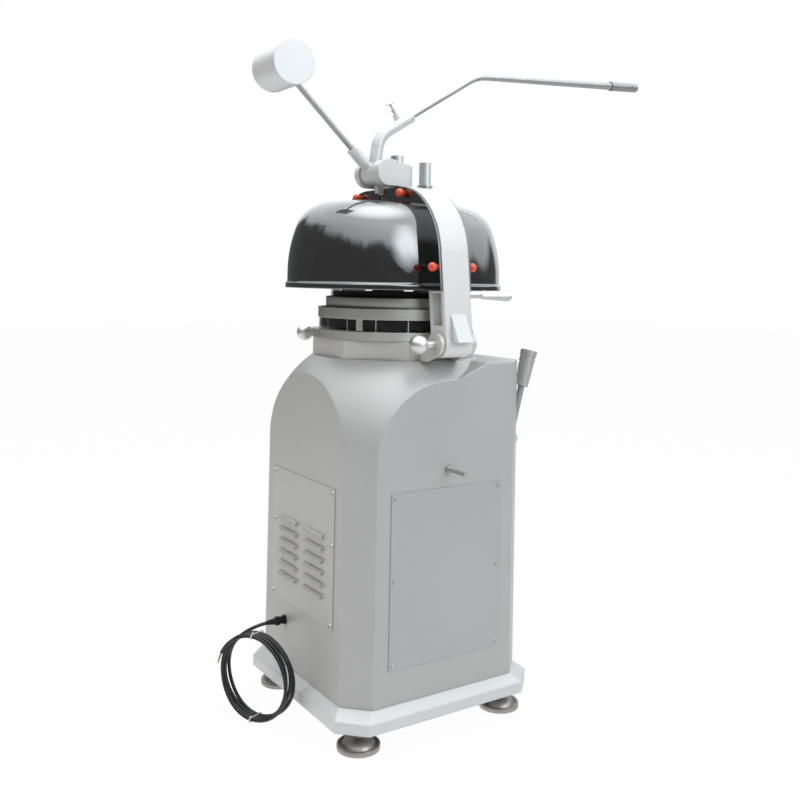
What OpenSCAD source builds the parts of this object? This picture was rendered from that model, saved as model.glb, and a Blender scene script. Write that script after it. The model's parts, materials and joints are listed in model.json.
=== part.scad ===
// Divider rounder for bakeries. A lever-worked head presses a batch of dough on a round plate and cuts it
// into equal pieces, and the orbit of the plate then rolls the pieces round.
// The floor is z = 0, the upright axis of the machine is the Z axis and the operator stands at -Y.

/* [Cabinet] */
// Width between the two side faces
body_w = 540; // [500:2:580]
// Depth between the front and rear faces
body_d = 536; // [500:2:580]
// Leg of the flat on each upright corner
corner_leg = 60; // [48:1:70]
// Thickness of the cabinet plate
wall_t = 6; // [5:0.5:8]
// Radius of the rounded shoulder below the neck
shoulder_r = 296; // [285:1:310]
// Depth of the flat ledge along the front
ledge_d = 150; // [135:1:160]
// Height of the working surface above the floor
table_h = 997; // [970:1:1030]

/* [Plinth and feet] */
// Height of the underside of the plinth above the floor
foot_h = 59; // [55:1:70]
// Height of the upright side of the plinth
plinth_side_h = 27; // [20:1:35]
// Height of the sloping top of the plinth
plinth_slope_h = 19; // [14:1:25]
// Distance that the plinth stands out past the cabinet
plinth_out = 24; // [16:1:32]
// Radius of the round pad of a levelling foot
foot_r = 53; // [45:1:60]
// Distance from the outer face of the plinth to a foot
foot_inset = 76; // [70:1:85]

/* [Panels] */
// Width of the service panel on each side
side_panel_w = 336; // [300:1:350]
// Height of the service panel on each side
side_panel_h = 424; // [380:1:440]
// Height of the lower edge of the service panels above the floor
side_panel_z = 189; // [175:1:205]
// Width of the louvred rear panel
rear_panel_w = 344; // [320:1:360]
// Height of the louvred rear panel
rear_panel_h = 345; // [325:1:365]
// Height of the lower edge of the rear panel above the floor
rear_panel_z = 272; // [262:1:285]
// Thickness of all panels
panel_t = 2; // [1.5:0.1:3]
// Length of one louvre
louvre_w = 98; // [80:1:110]
// Height from one louvre to the next
louvre_pitch = 29.6; // [26:0.1:32]
// Louvres in each of the two columns
louvre_rows = 6; // [4:1:6]

/* [Neck and table] */
// Radius of the eight-sided neck over its corners
neck_r = 222; // [214:1:228]
// Height of the neck
neck_h = 48; // [40:1:54]
// Radius of the orbiting table
table_r = 222; // [214:1:226]
// Thickness of the orbiting table
table_t = 22; // [18:1:26]
// Radius of the moulding plate
plate_r = 205; // [203:0.5:207]
// Thickness of the moulding plate
plate_t = 7; // [5:0.5:9]
// Radius of the orbit of the table
orbit_r = 6; // [4:0.5:8]

/* [Dividing head] */
// Radius over the ends of the knives
cutter_r = 200; // [196:0.5:202]
// Thickness of a knife
knife_t = 2; // [1.5:0.1:2.4]
// Height of the knives
knife_h = 51; // [46:0.5:54]
// Height of the lower face of the chamber ring above the working surface
chamber_rise = 31; // [26:0.5:34]
// Height of the chamber ring
chamber_h = 28; // [26:0.5:32]
// Radius of the chamber ring
chamber_r = 209; // [206:0.5:212]
// Radius of the press plate
press_r = 186; // [178:0.5:190]
// Thickness of the press plate
press_t = 17; // [14:0.5:20]
// Thickness of the head carrier
carrier_t = 25; // [20:0.5:28]

/* [Gantry] */
// Width of the gantry from front to rear
gantry_w = 82; // [76:1:88]
// Half width over the legs at their pins
gantry_half = 309; // [300:1:318]
// Depth of a leg
leg_d = 66; // [56:1:70]
// Height of the gantry above the working surface
gantry_rise = 385; // [370:1:400]
// Depth of the cross beam
beam_h = 88; // [78:1:94]
// Inward lean of the legs in degrees
leg_lean = 6.9; // [5:0.1:8]
// Radius of the outer corners of the arch
arch_r = 200; // [185:1:210]

/* [Covers] */
// Radius of a half cover
cover_r = 232; // [224:1:238]
// Distance from the machine axis to the centre of a half cover
cover_axis = 70; // [60:1:80]
// Thickness of the cover shell
cover_t = 4; // [3:0.5:6]
// Height of the crown of the covers above the working surface
cover_rise = 341; // [332:1:350]
// Height of the lower rim of the covers above the working surface
rim_rise = 109; // [104:1:118]

/* [Press lever] */
// Distance of the lever shaft behind the machine axis
hub_y = 76; // [72:0.5:84]
// Radius of the lever hub and of its two bearing blocks
hub_r = 36; // [32:0.5:40]
// Thickness of the left bearing block
left_block_w = 38; // [32:1:44]
// Thickness of the right bearing block
right_block_w = 20; // [16:1:30]
// Pitch radius of the toothed sector that lifts the head
sector_r = 58; // [56:0.5:60]
// Length of the upright tube from the shaft to its bend
post_l = 108; // [98:1:120]
// Length of the sloping rod between the two bends
rod_l = 392; // [360:1:420]
// Length of the handle from the last bend to its end
handle_l = 664; // [600:1:720]
// Forward lean of the upright tube in degrees
post_lean = 8.5; // [5:0.5:12]
// Slope of the rod in degrees
rod_slope = 32; // [28:0.5:36]
// Slope of the handle in degrees
handle_slope = 4.7; // [2:0.1:8]
// Distance from the shaft to the centre of the counterweight
arm_l = 378; // [350:1:400]
// Slope of the counterweight arm in degrees
arm_slope = 42.9; // [38:0.1:48]
// Radius of the counterweight
weight_r = 57; // [50:0.5:64]
// Length of the counterweight
weight_l = 132; // [115:1:150]

/* [Rounding lever] */
// Height of the pivot above the floor
round_pivot_z = 700; // [680:1:720]
// Distance of the lever from the middle of the machine
round_x = 165; // [150:1:180]
// Lean of the lever towards the operator in degrees
round_lean = 15.2; // [12:0.1:18]
// Length from the pivot to the end of the grip
round_l = 247; // [230:1:260]
// Radius of the grip at its end
grip_r = 23.5; // [20:0.5:26]

/* [Power cord] */
// Diameter of the cord
cord_d = 9; // [7:0.5:10]
// Mean radius of the coil
coil_r = 105; // [98:1:112]
// Turns in the coil
coil_turns = 4; // [2:1:6]

/* [Hidden] */
$fn = 64;
overrun = 1;
run_gap = 0.05;
pass_gap = 0.4;
hole_gap = 0.1;
half_turn = 180;
root_two = sqrt(2);
half_w = body_w / 2;
half_d = body_d / 2;

// Heights, from the floor and from the working surface
body_z = foot_h + plinth_side_h + plinth_slope_h;
table_z = table_h - table_t;
neck_gap = 1;
neck_top = table_z - neck_gap;
seat_z = neck_top - neck_h;
ledge_gap = 6;
ledge_run = 108;
ledge_fall = 45;
ledge_z = seat_z - ledge_gap;
gantry_top = table_h + gantry_rise;
rim_z = table_h + rim_rise;
crown_z = table_h + cover_rise;

// Shoulder of the cabinet: an arc that starts upright at the corners and ends at the neck
corner_reach = max(norm([half_w, half_d - corner_leg]), norm([half_w - corner_leg, half_d])) + overrun;
shoulder_c = corner_reach - shoulder_r;
shoulder_z = seat_z - sqrt(shoulder_r * shoulder_r - (neck_r - shoulder_c) * (neck_r - shoulder_c));
opening_r = 170;
bevel_share = 2 - root_two;

// Plinth and feet
plinth_w = body_w + 2 * plinth_out;
plinth_d = body_d + 2 * plinth_out;
rail_margin = 26;
plinth_rail = foot_inset + rail_margin;
foot_x = plinth_w / 2 - foot_inset;
foot_y = plinth_d / 2 - foot_inset;
foot_pad_t = 13;
foot_slope_t = 6;
foot_hub_r = 34;
foot_hub_t = 9;
foot_stud_r = 10;
foot_nut_r = 17;
foot_nut_t = 13;

// Panels and their screws
screw_inset = 11;
screw_head_r = 6;
screw_head_t = 2.6;
screw_r = 2.5;
screw_l = 9;
screw_slot_w = 1.2;
screw_slot_t = 1.1;
panel_lap = 24;
rear_mid_share = 0.6;
louvre_gap = 46;
louvre_foot = 65;
louvre_r = 10;
louvre_t = 1.6;
louvre_slot_h = 8;
side_z0 = side_panel_z + screw_inset;
side_dz = side_panel_h - 2 * screw_inset;
side_dy = side_panel_w - 2 * screw_inset;
rear_z0 = rear_panel_z + screw_inset;
rear_dz = rear_panel_h - 2 * screw_inset;
rear_dx = rear_panel_w - 2 * screw_inset;

// Belt-tension stud on the left side
stud_r = 6;
stud_l = 73;
stud_z = 658;
stud_nut_r = 11;
stud_nut_t = 9;
stud_lug_w = 60;
stud_lug_t = 12;

// Neck, its ears and the pins of the gantry
neck_floor_t = 14;
neck_cup_r = 185;
pin_x = gantry_half - leg_d / 2;
pin_drop = 24;
pin_z = table_h - pin_drop;
pin_r = 10;
ear_t = 13;
ear_r = 30;
ear_root_share = 0.88;
ear_gap = 0.6;
ear_in = gantry_w / 2 + ear_gap;
table_clear = 10;
ear_step_x = table_r + orbit_r + table_clear;

// Drive below the neck
housing_r = 60;
housing_flange_r = 90;
housing_flange_t = 14;
housing_l = 150;
shaft_r = 25;
shaft_tail = 350;
crank_r = 48;
crank_t = 10;
crank_gap = 1;
journal_r = 20;
journal_l = 21;
table_hub_r = 45;
floor_top = seat_z + neck_floor_t;
crank_z = floor_top + crank_gap;
journal_z = crank_z + crank_t;
pulley_z = floor_top - shaft_tail;
pulley_t = 30;
driven_r = 110;
driver_r = 42;
groove_d = 12;
groove_w = 14;
belt_w = 12;
belt_h = 9;
motor_y = 156;
motor_r = 84;
motor_l = 250;
motor_fin_t = 4;
motor_fins = 18;
motor_fin_h = 9;
motor_shaft_r = 12;
motor_plate_t = 8;
motor_plate_d = 196;
motor_plate_gap = 12;
motor_plate_z = pulley_z - motor_plate_gap - motor_plate_t;
motor_hole_r = 46;
terminal_w = 70;
terminal_d = 34;
terminal_h = 90;
belt_z = pulley_z + (pulley_t - belt_w) / 2;

// Head: thirty cells of equal area in three rings
outer_cells = 15;
middle_cells = 10;
inner_cells = 5;
cells = outer_cells + middle_cells + inner_cells;
inner_ring_r = cutter_r * sqrt(inner_cells / cells);
middle_ring_r = cutter_r * sqrt((inner_cells + middle_cells) / cells);
knife_turn = 14.3;
knife_gap = 1;
cell_gap = 1;
plunger_lift = 7;
knife_z = table_h + knife_gap;
plunger_z = knife_z + plunger_lift;
chamber_z = table_h + chamber_rise;
press_z = chamber_z + chamber_h;
carrier_z = press_z + press_t;
carrier_top = carrier_z + carrier_t;
chamber_in = cutter_r + cell_gap;
plunger_r = chamber_in - cell_gap / 2;
carrier_rim = 16;
carrier_r = press_r - carrier_rim;
hub_pin_r = 9;
stops = 5;
stop_w = 18;
stop_gap = 2;
stop_turn = knife_turn + 1.5 * 360 / outer_cells;
head_bolts = 10;
head_bolt_r = 5;
head_bolt_t = 9;
head_bolt_pcr = press_r - carrier_rim / 2;

// Rack, guide posts and toothed sector
tooth_m = 4;
tooth_pitch = PI * tooth_m;
tooth_share = 0.36;
tooth_tip_share = 0.2;
tooth_root = 1.25 * tooth_m;
rack_line = hub_y - sector_r;
rack_r = 18;
rack_y = rack_line - rack_r;
rack_top = 93;
rack_teeth = 7;
rack_tooth_w = 18;
sector_w = 20;
sector_teeth = 7;
sector_lead = 14;
sector_step = 180 * tooth_m / sector_r;
guide_r = 16;
guide_x = 107;
guide_y = -22;
guide_top = 65;
guide_foot_r = 26;
guide_foot_t = 12;
bush_t = 1.5;
bush_lip_t = 4;
bush_lip_r = 21;
slot_clear = 13;
slot_depth = sector_r + tooth_m - hub_r + slot_clear;
slot_gap = 3;

// Gantry details
knuckle_swell = 1;
knuckle_r = leg_d / 2 + knuckle_swell;
pocket_margin = 12;
pocket_d = 24;
pocket_low = 46;
pocket_top_gap = 6;
wedge_out = 28;
wedge_w = 46;
wedge_low = 6;
wedge_h = 70;
lock_hole_l = 14;
latch_inset = 50;
latch_out = 15;
latch_r = 13;
latch_lug_w = 24;
latch_t = 14;
latch_drop = 33;
latch_l = 144;
latch_bar_w = 14;
latch_bar_t = 9;
latch_grip_l = 88;
latch_grip_r = 12;
latch_grip_low_r = 6;
latch_screw_r = 5;
latch_head_r = 9;
latch_head_t = 5;

// Covers
arc_swell = 0.05;
arc_lap = 20;
flange_t = 6;
flange_inset = 3;
flange_gap = 0.5;
flange_y = gantry_w / 2 + flange_gap;
wall_arc_r = 365.6;
crown_arc_r = 100;
wall_arc_rise = 44;
lip_out = 3;
lip_h = 15;
wall_arc_z = rim_z + wall_arc_rise;
wall_arc_x = cover_r - wall_arc_r;
crown_arc_z = crown_z - crown_arc_r;
arc_step = crown_arc_z - wall_arc_z;
arc_run = wall_arc_r - crown_arc_r;
crown_arc_x = wall_arc_x + sqrt(arc_run * arc_run - arc_step * arc_step);
knob_r = 12;
knob_neck_r = 6;
knob_stud_r = 4;
knob_stud_l = 26;
knob_short_l = 7;
knob_hole_gap = 0.4;
knob_rise = 14;
knob_top_x = 113;
knob_top_drop = 21;
knob_side_rise = 60;
knob_side_inset = 14;

// Press lever
hub_z = gantry_top + hub_r;
boss_r = 30;
boss_left = 47;
boss_right = 20.5;
hub_side_gap = 0.5;
lever_shaft_r = 15;
block_skin = 5;
block_front = 5;
block_nose_share = 0.78;
post_r = 17;
post_bend_r = 64;
sleeve_l = 122;
sleeve_r = 16;
rod_r = 8;
rod_bend_r = 140;
handle_end_r = 12.5;
end_sleeve_l = 116;
end_sleeve_r = 15;
end_sleeve_gap = 0.2;
end_pin_r = 3;
end_pin_share = 0.75;
socket_r = 16;
socket_l = 96;
arm_r = 8;
socket_depth = 40;
thumb_at = 44;
thumb_r = 4;
thumb_l = 46;
thumb_bar_r = 3;
thumb_bar_l = 22;
thumb_foot_r = 7;
thumb_foot_l = 6;
thumb_foot_rise = 21;
thumb_boss_r = 9;
thumb_boss_h = 13;

// Lock pin of the gantry
lock_end_gap = 0.8;
ball_r = 24;
lock_ball_stand = 23;
hinge_ball_stand = 54;
ear_out = ear_in + ear_t;
lock_ball_y = ear_out + lock_ball_stand + ball_r;
hinge_ball_y = ear_out + hinge_ball_stand + ball_r;

// Rounding lever
round_pivot_out = 16;
round_rod_r = 9;
round_hub_r = 14;
round_hub_w = 18;
lug_t = 8;
lug_gap = 0.4;
round_pin_r = 6;
grip_l = 101;
grip_low_share = 0.76;
groove_ring_t = 5;
groove_ring_d = 1.6;
groove_shares = [0.62, 0.78];
lug_base_w = 60;
lug_base_h = 70;
lug_base_t = 5;

// Switch box on the front
box_x = 120;
box_z = 790;
box_w = 84;
box_h = 132;
box_d = 34;
box_wall = 3;
button_r = 14;
button_ring_r = 18;
button_ring_t = 5;
button_out = 9;
button_l = 24;
button_dz = 27;

// Cable gland and cord
gland_x = 91;
gland_z = 222;
gland_hex_r = 12;
gland_hex_t = 6;
gland_body_r = 9.5;
gland_nut_r = 11.5;
gland_nut_t = 11;
gland_body_t = 11;
gland_l = gland_hex_t + gland_body_t + gland_nut_t;
cord_r = cord_d / 2;
cord_gap = 0.8;
cord_sides = 6;
turn_rings = 24;
coil_spread = 5;
coil_wave_share = 1.7;
tie_t = 1.5;
tie_w = 3.4;
tie_gap = 0.5;
coil_pitch = cord_d + cord_gap;
coil_lift = coil_r + cord_r + tie_gap + tie_t;
coil_start = 45;
coil_extra = 20;
// Middle of the coil on the floor, measured from the mouth of the gland
coil_from_gland = [-47, 73];
coil_turn = 27;
coil_centre = [gland_x + coil_from_gland[0], half_d + gland_l + coil_from_gland[1], coil_lift];
coil_along = [cos(coil_turn), sin(coil_turn), 0];
coil_out = [-sin(coil_turn), cos(coil_turn), 0];
// Lead from the gland to the coil: a straight run and then one smooth curve
lead_inside = 12;
lead_run = 18;
lead_steps = 10;
lead_pull = 92;

cabinet_colour = [0.72, 0.73, 0.74];
silver_colour = [0.86, 0.87, 0.88];
steel_colour = [0.62, 0.63, 0.64];
chrome_colour = [0.8, 0.81, 0.82];
black_colour = [0.03, 0.03, 0.035];
plastic_colour = [0.9, 0.9, 0.88];
red_colour = [0.9, 0.22, 0.14];
green_colour = [0.1, 0.5, 0.2];
iron_colour = [0.35, 0.37, 0.4];

// Shared shapes

// Rectangle with four flat corners
module bevelled(w, d, leg) {
    polygon([
        [-w / 2 + leg, -d / 2], [w / 2 - leg, -d / 2], [w / 2, -d / 2 + leg], [w / 2, d / 2 - leg],
        [w / 2 - leg, d / 2], [-w / 2 + leg, d / 2], [-w / 2, d / 2 - leg], [-w / 2, -d / 2 + leg]
    ]);
}

// Plan of the cabinet, drawn in by an inset
module body_plan(inset) {
    bevelled(body_w - 2 * inset, body_d - 2 * inset, corner_leg - inset * bevel_share);
}

// Straight hex bar for nuts and glands
module hex(r, h) {
    cylinder(h = h, r = r, $fn = 6);
}

// Turns a drawing in Y and Z so that it is extruded along X
module side_plane() {
    rotate([90, 0, 90]) children();
}

// Turns a drawing in X and Z so that it is extruded along Y, centred on the gantry
module front_plane(depth) {
    rotate([90, 0, 0]) linear_extrude(depth, center = true) children();
}

// Both mirror images across the middle of the machine from left to right
module both_sides() {
    for (turn = [0, 1]) mirror([turn, 0, 0]) children();
}

// Straight run of round bar in the plane of the lever
module bar(from, angle, l, r1, r2) {
    translate(from) rotate([0, 0, angle]) rotate([0, 90, 0]) cylinder(h = l, r1 = r1, r2 = r2);
}

// Bend of round bar that turns left from one heading to another
module bend(corner, angle, turn, bend_r, r) {
    back = bend_r * tan(turn / 2);
    start = corner - back * [cos(angle), sin(angle)];
    centre = start + bend_r * [-sin(angle), cos(angle)];
    translate(centre) rotate([0, 0, angle - 90]) rotate_extrude(angle = turn)
        translate([bend_r, 0]) circle(r + bend_swell);
}

// Cabinet

// Outer or inner form of the cabinet: an upright prism under a turned shoulder, with the front ledge
module body_form(inset) {
    low = inset > 0 ? body_z - overrun : body_z;
    intersection() {
        translate([0, 0, low]) linear_extrude(seat_z - inset - low) body_plan(inset);
        rotate_extrude() shoulder_profile(inset);
    }
    intersection() {
        translate([0, 0, low]) linear_extrude(ledge_z - inset - low) body_plan(inset);
        side_plane() linear_extrude(body_w, center = true) ledge_profile(inset);
    }
}

// Side view of the front ledge, drawn in by an inset: a flat top and a slope that runs back into the
// shoulder
module ledge_profile(inset) {
    fall_share = ledge_fall / ledge_run;
    skew = norm([1, fall_share]);
    edge = ledge_d - half_d;
    back = edge + ledge_run - inset;
    low = shoulder_z - 2 * wall_t;
    polygon([
        [inset - half_d, low], [inset - half_d, ledge_z - inset],
        [edge - inset * (skew - 1) / fall_share, ledge_z - inset],
        [back, ledge_z - inset * skew - fall_share * (back - edge)], [back, low]
    ]);
}

// Half section of the solid that rounds the cabinet off towards the neck
module shoulder_profile(inset) {
    square([corner_reach - inset, shoulder_z]);
    intersection() {
        translate([shoulder_c, shoulder_z]) circle(shoulder_r - inset, $fn = 96);
        translate([0, shoulder_z - overrun]) square([corner_reach, seat_z - inset - shoulder_z + overrun]);
    }
}

// Places of the screws on one side panel, as distances along the panel and heights
function side_screws() = [for (y = [-1, 1]) for (k = [0, 0.5, 1]) [y * side_dy / 2, side_z0 + k * side_dz]];

// Places of the screws on the rear panel
function rear_screws() = [for (x = [-1, 1])
    for (k = [0, rear_mid_share, 1]) [x * rear_dx / 2, rear_z0 + k * rear_dz]];

// Runs its children at every screw, with the screw's axis along Z and its head outwards
module at_screws() {
    for (side = [-1, 1]) for (p = side_screws())
        translate([side * (half_w + panel_t), p[0], p[1]]) rotate([0, side * 90, 0]) children();
    for (p = rear_screws()) translate([p[0], half_d + panel_t, p[1]]) rotate([-90, 0, 0]) children();
}

module screw_holes() {
    at_screws() translate([0, 0, -screw_l - overrun])
        cylinder(h = screw_l + 2 * overrun, r = screw_r + hole_gap, $fn = 24);
}

module cabinet_shell() {
    window_w = side_panel_w - 2 * panel_lap;
    window_h = side_panel_h - 2 * panel_lap;
    vent_w = rear_panel_w - 2 * panel_lap;
    vent_h = rear_panel_h - 2 * panel_lap;
    color(cabinet_colour) difference() {
        body_form(0);
        body_form(wall_t);
        translate([0, 0, seat_z - 2 * wall_t]) cylinder(h = 3 * wall_t, r = opening_r);
        for (side = [-1, 1])
            translate([side * half_w, 0, side_panel_z + panel_lap + window_h / 2])
                cube([4 * wall_t, window_w, window_h], center = true);
        translate([0, half_d, rear_panel_z + panel_lap + vent_h / 2])
            cube([vent_w, 4 * wall_t, vent_h], center = true);
        screw_holes();
        translate([gland_x, half_d, gland_z]) rotate([90, 0, 0])
            cylinder(h = 4 * wall_t, r = gland_body_r + hole_gap, center = true);
        translate([-half_w, 0, stud_z]) rotate([0, 90, 0])
            cylinder(h = 4 * wall_t, r = stud_r + hole_gap, center = true);
    }
}

// Section of the plinth across two opposite faces: upright sides under sloping tops
module plinth_section(low_half, top_half) {
    polygon([
        [-low_half, foot_h], [low_half, foot_h], [low_half, foot_h + plinth_side_h], [top_half, body_z],
        [-top_half, body_z], [-low_half, foot_h + plinth_side_h]
    ]);
}

module plinth() {
    corner_low = (plinth_w / 2 + plinth_d / 2 - corner_leg) / root_two;
    corner_top = (half_w + half_d - corner_leg) / root_two;
    color(cabinet_colour) difference() {
        intersection() {
            front_plane(plinth_d) plinth_section(plinth_w / 2, half_w);
            rotate(90) front_plane(plinth_w) plinth_section(plinth_d / 2, half_d);
            rotate(45) front_plane(2 * plinth_w) plinth_section(corner_low, corner_top);
            rotate(-45) front_plane(2 * plinth_w) plinth_section(corner_low, corner_top);
        }
        translate([0, 0, foot_h - overrun]) linear_extrude(body_z - foot_h + 2 * overrun)
            bevelled(plinth_w - 2 * plinth_rail, plinth_d - 2 * plinth_rail, corner_leg / 2);
        at_feet() translate([0, 0, foot_h - overrun])
            cylinder(h = body_z - foot_h + 2 * overrun, r = foot_stud_r + hole_gap, $fn = 32);
    }
}

// Runs its children at each of the four feet
module at_feet() {
    for (x = [-1, 1]) for (y = [-1, 1]) translate([x * foot_x, y * foot_y, 0]) children();
}

module levelling_feet() {
    color(steel_colour) at_feet() {
        cylinder(h = foot_pad_t, r = foot_r);
        translate([0, 0, foot_pad_t]) cylinder(h = foot_slope_t, r1 = foot_r, r2 = foot_hub_r);
        translate([0, 0, foot_pad_t + foot_slope_t]) cylinder(h = foot_hub_t, r = foot_hub_r);
        cylinder(h = body_z, r = foot_stud_r, $fn = 32);
    }
}

module foot_nuts() {
    color(steel_colour) at_feet() translate([0, 0, foot_h - foot_nut_t]) difference() {
        hex(foot_nut_r, foot_nut_t);
        translate([0, 0, -overrun]) cylinder(h = foot_nut_t + 2 * overrun, r = foot_stud_r + hole_gap,
            $fn = 32);
    }
}

// Panels

module side_panel(side) {
    color(cabinet_colour) difference() {
        translate([side * (half_w + panel_t / 2), 0, side_panel_z + side_panel_h / 2])
            cube([panel_t, side_panel_w, side_panel_h], center = true);
        screw_holes();
    }
}

module left_panel() {
    side_panel(-1);
}

module right_panel() {
    side_panel(1);
}

// Places of the louvres on the rear panel: two columns of rows
function louvres() = [
    for (x = [-1, 1]) for (row = [0 : louvre_rows - 1])
        [x * (louvre_w + louvre_gap) / 2, rear_panel_z + louvre_foot + row * louvre_pitch]
];

// Pressed hood of one louvre, open below
module louvre_hood() {
    difference() {
        intersection() {
            rotate([0, 90, 0]) cylinder(h = louvre_w, r = louvre_r, center = true, $fn = 32);
            translate([-louvre_w / 2, 0, 0]) cube([louvre_w, louvre_r, louvre_r]);
        }
        rotate([0, 90, 0]) cylinder(h = louvre_w - 2 * louvre_t, r = louvre_r - louvre_t,
            center = true, $fn = 32);
    }
}

module rear_panel() {
    color(cabinet_colour) {
        difference() {
            translate([0, half_d + panel_t / 2, rear_panel_z + rear_panel_h / 2])
                cube([rear_panel_w, panel_t, rear_panel_h], center = true);
            screw_holes();
            for (p = louvres()) translate([p[0], half_d + panel_t / 2, p[1] + louvre_slot_h / 2])
                cube([louvre_w - 2 * louvre_t, 2 * panel_t, louvre_slot_h], center = true);
        }
        for (p = louvres()) translate([p[0], half_d + panel_t, p[1]]) louvre_hood();
    }
}

module panel_screws() {
    color(steel_colour) at_screws() difference() {
        union() {
            cylinder(h = screw_head_t, r1 = screw_head_r, r2 = screw_head_r - screw_slot_t, $fn = 24);
            translate([0, 0, -screw_l]) cylinder(h = screw_l + screw_slot_t, r = screw_r, $fn = 24);
        }
        for (turn = [0, 90]) rotate(turn) translate([0, 0, screw_head_t])
            cube([screw_head_r, screw_slot_w, 2 * screw_slot_t], center = true);
    }
}

module tension_stud() {
    color(steel_colour) translate([-half_w, 0, stud_z]) rotate([0, -90, 0])
        translate([0, 0, -wall_t - stud_lug_t])
            cylinder(h = wall_t + stud_lug_t + stud_l, r = stud_r, $fn = 32);
}

module tension_nut() {
    color(steel_colour) translate([-half_w, 0, stud_z]) rotate([0, -90, 0]) difference() {
        hex(stud_nut_r, stud_nut_t);
        translate([0, 0, -overrun]) cylinder(h = stud_nut_t + 2 * overrun, r = stud_r + hole_gap, $fn = 32);
    }
}

// Block behind the wall that the tension stud screws into
module tension_block() {
    color(iron_colour) difference() {
        translate([-half_w + wall_t, -stud_lug_w / 2, stud_z - stud_lug_w / 2])
            cube([stud_lug_t, stud_lug_w, stud_lug_w]);
        translate([-half_w, 0, stud_z]) rotate([0, 90, 0])
            cylinder(h = 2 * (wall_t + stud_lug_t), r = stud_r + hole_gap, $fn = 32);
    }
}

// Neck and drive

// Side view of an ear that carries a pin of the gantry
module ear_profile() {
    root = neck_r * ear_root_share;
    translate([pin_x, pin_z]) circle(ear_r);
    polygon([
        [root, seat_z], [root, neck_top], [ear_step_x, neck_top],
        [pin_x - ear_r * sin(30), pin_z + ear_r * cos(30)], [pin_x, pin_z], [pin_x, pin_z - ear_r],
            [ear_step_x, seat_z]
    ]);
}

module neck() {
    color(silver_colour) difference() {
        union() {
            translate([0, 0, seat_z]) rotate(180 / 8) cylinder(h = neck_h, r = neck_r, $fn = 8);
            both_sides() for (face = [-1, 1]) translate([0, face * (ear_in + ear_t / 2), 0])
                front_plane(ear_t) ear_profile();
        }
        translate([0, 0, floor_top]) cylinder(h = neck_h, r = neck_cup_r);
        translate([0, 0, seat_z - overrun]) cylinder(h = neck_h, r = housing_r + hole_gap);
        both_sides() translate([pin_x, 0, pin_z]) rotate([90, 0, 0])
            cylinder(h = 2 * (ear_in + ear_t + overrun), r = pin_r + run_gap, center = true, $fn = 32);
    }
}

module bearing_housing() {
    color(iron_colour) difference() {
        union() {
            translate([0, 0, floor_top - housing_l]) cylinder(h = housing_l, r = housing_r);
            translate([0, 0, seat_z - housing_flange_t])
                cylinder(h = housing_flange_t, r = housing_flange_r);
        }
        translate([0, 0, floor_top - housing_l - overrun])
            cylinder(h = housing_l + 2 * overrun, r = shaft_r + run_gap);
    }
}

module main_shaft() {
    color(steel_colour) {
        translate([0, 0, pulley_z]) cylinder(h = crank_z - pulley_z, r = shaft_r);
        translate([0, 0, crank_z]) cylinder(h = crank_t, r = crank_r);
        translate([orbit_r, 0, journal_z]) cylinder(h = journal_l, r = journal_r);
    }
}

// Wheel with one belt groove
module pulley(r, bore) {
    rotate_extrude() difference() {
        translate([bore, 0]) square([r - bore, pulley_t]);
        translate([r - groove_d, (pulley_t - groove_w) / 2]) square([groove_d + overrun, groove_w]);
    }
}

module driven_pulley() {
    color(iron_colour) translate([0, 0, pulley_z]) pulley(driven_r, shaft_r + hole_gap);
}

module motor_pulley() {
    color(iron_colour) translate([0, motor_y, pulley_z]) {
        pulley(driver_r, motor_shaft_r);
        translate([0, 0, -motor_plate_gap])
            cylinder(h = motor_plate_gap + pulley_t, r = motor_shaft_r, $fn = 32);
    }
}

// Outline of the belt at a distance from the bottom of the grooves
module belt_outline(out) {
    r1 = driven_r - groove_d + out;
    r2 = driver_r - groove_d + out;
    lean = asin((r1 - r2) / motor_y);
    circle(r1);
    translate([0, motor_y]) circle(r2);
    polygon([
        [r1 * cos(lean), r1 * sin(lean)], [r2 * cos(lean), motor_y + r2 * sin(lean)],
        [-r2 * cos(lean), motor_y + r2 * sin(lean)], [-r1 * cos(lean), r1 * sin(lean)]
    ]);
}

module drive_belt() {
    color(black_colour) translate([0, 0, belt_z]) linear_extrude(belt_w) difference() {
        belt_outline(pass_gap + belt_h);
        belt_outline(pass_gap);
    }
}

module motor_plate() {
    color(iron_colour) translate([0, 0, motor_plate_z]) linear_extrude(motor_plate_t) difference() {
        intersection() {
            body_plan(wall_t);
            translate([-half_w, motor_y - motor_plate_d / 2]) square([body_w, motor_plate_d]);
        }
        translate([0, motor_y]) circle(motor_hole_r);
    }
}

module motor() {
    color(iron_colour) translate([0, motor_y, motor_plate_z - motor_l]) difference() {
        union() {
            cylinder(h = motor_l, r = motor_r - motor_fin_h);
            for (k = [0 : motor_fins - 1]) rotate(k * 360 / motor_fins)
                translate([0, -motor_fin_t / 2, 0]) cube([motor_r, motor_fin_t, motor_l]);
            translate([motor_r - motor_fin_h - overrun, -terminal_w / 2, motor_l - terminal_h])
                cube([terminal_d, terminal_w, terminal_h]);
        }
        translate([0, 0, motor_l - motor_plate_gap])
            cylinder(h = motor_plate_gap + overrun, r = motor_shaft_r + pass_gap, $fn = 32);
    }
}

module rounding_table() {
    color(silver_colour) difference() {
        union() {
            translate([orbit_r, 0, table_z]) cylinder(h = table_t, r = table_r, $fn = 96);
            translate([orbit_r, 0, journal_z + crank_gap])
                cylinder(h = table_z - journal_z, r = table_hub_r);
        }
        translate([orbit_r, 0, table_h - plate_t]) cylinder(h = table_t, r = plate_r + hole_gap, $fn = 96);
        translate([orbit_r, 0, journal_z]) cylinder(h = journal_l + crank_gap, r = journal_r + run_gap);
    }
}

module moulding_plate() {
    color(plastic_colour) translate([orbit_r, 0, table_h - plate_t])
        cylinder(h = plate_t, r = plate_r, $fn = 96);
}

// Dividing head

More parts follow.
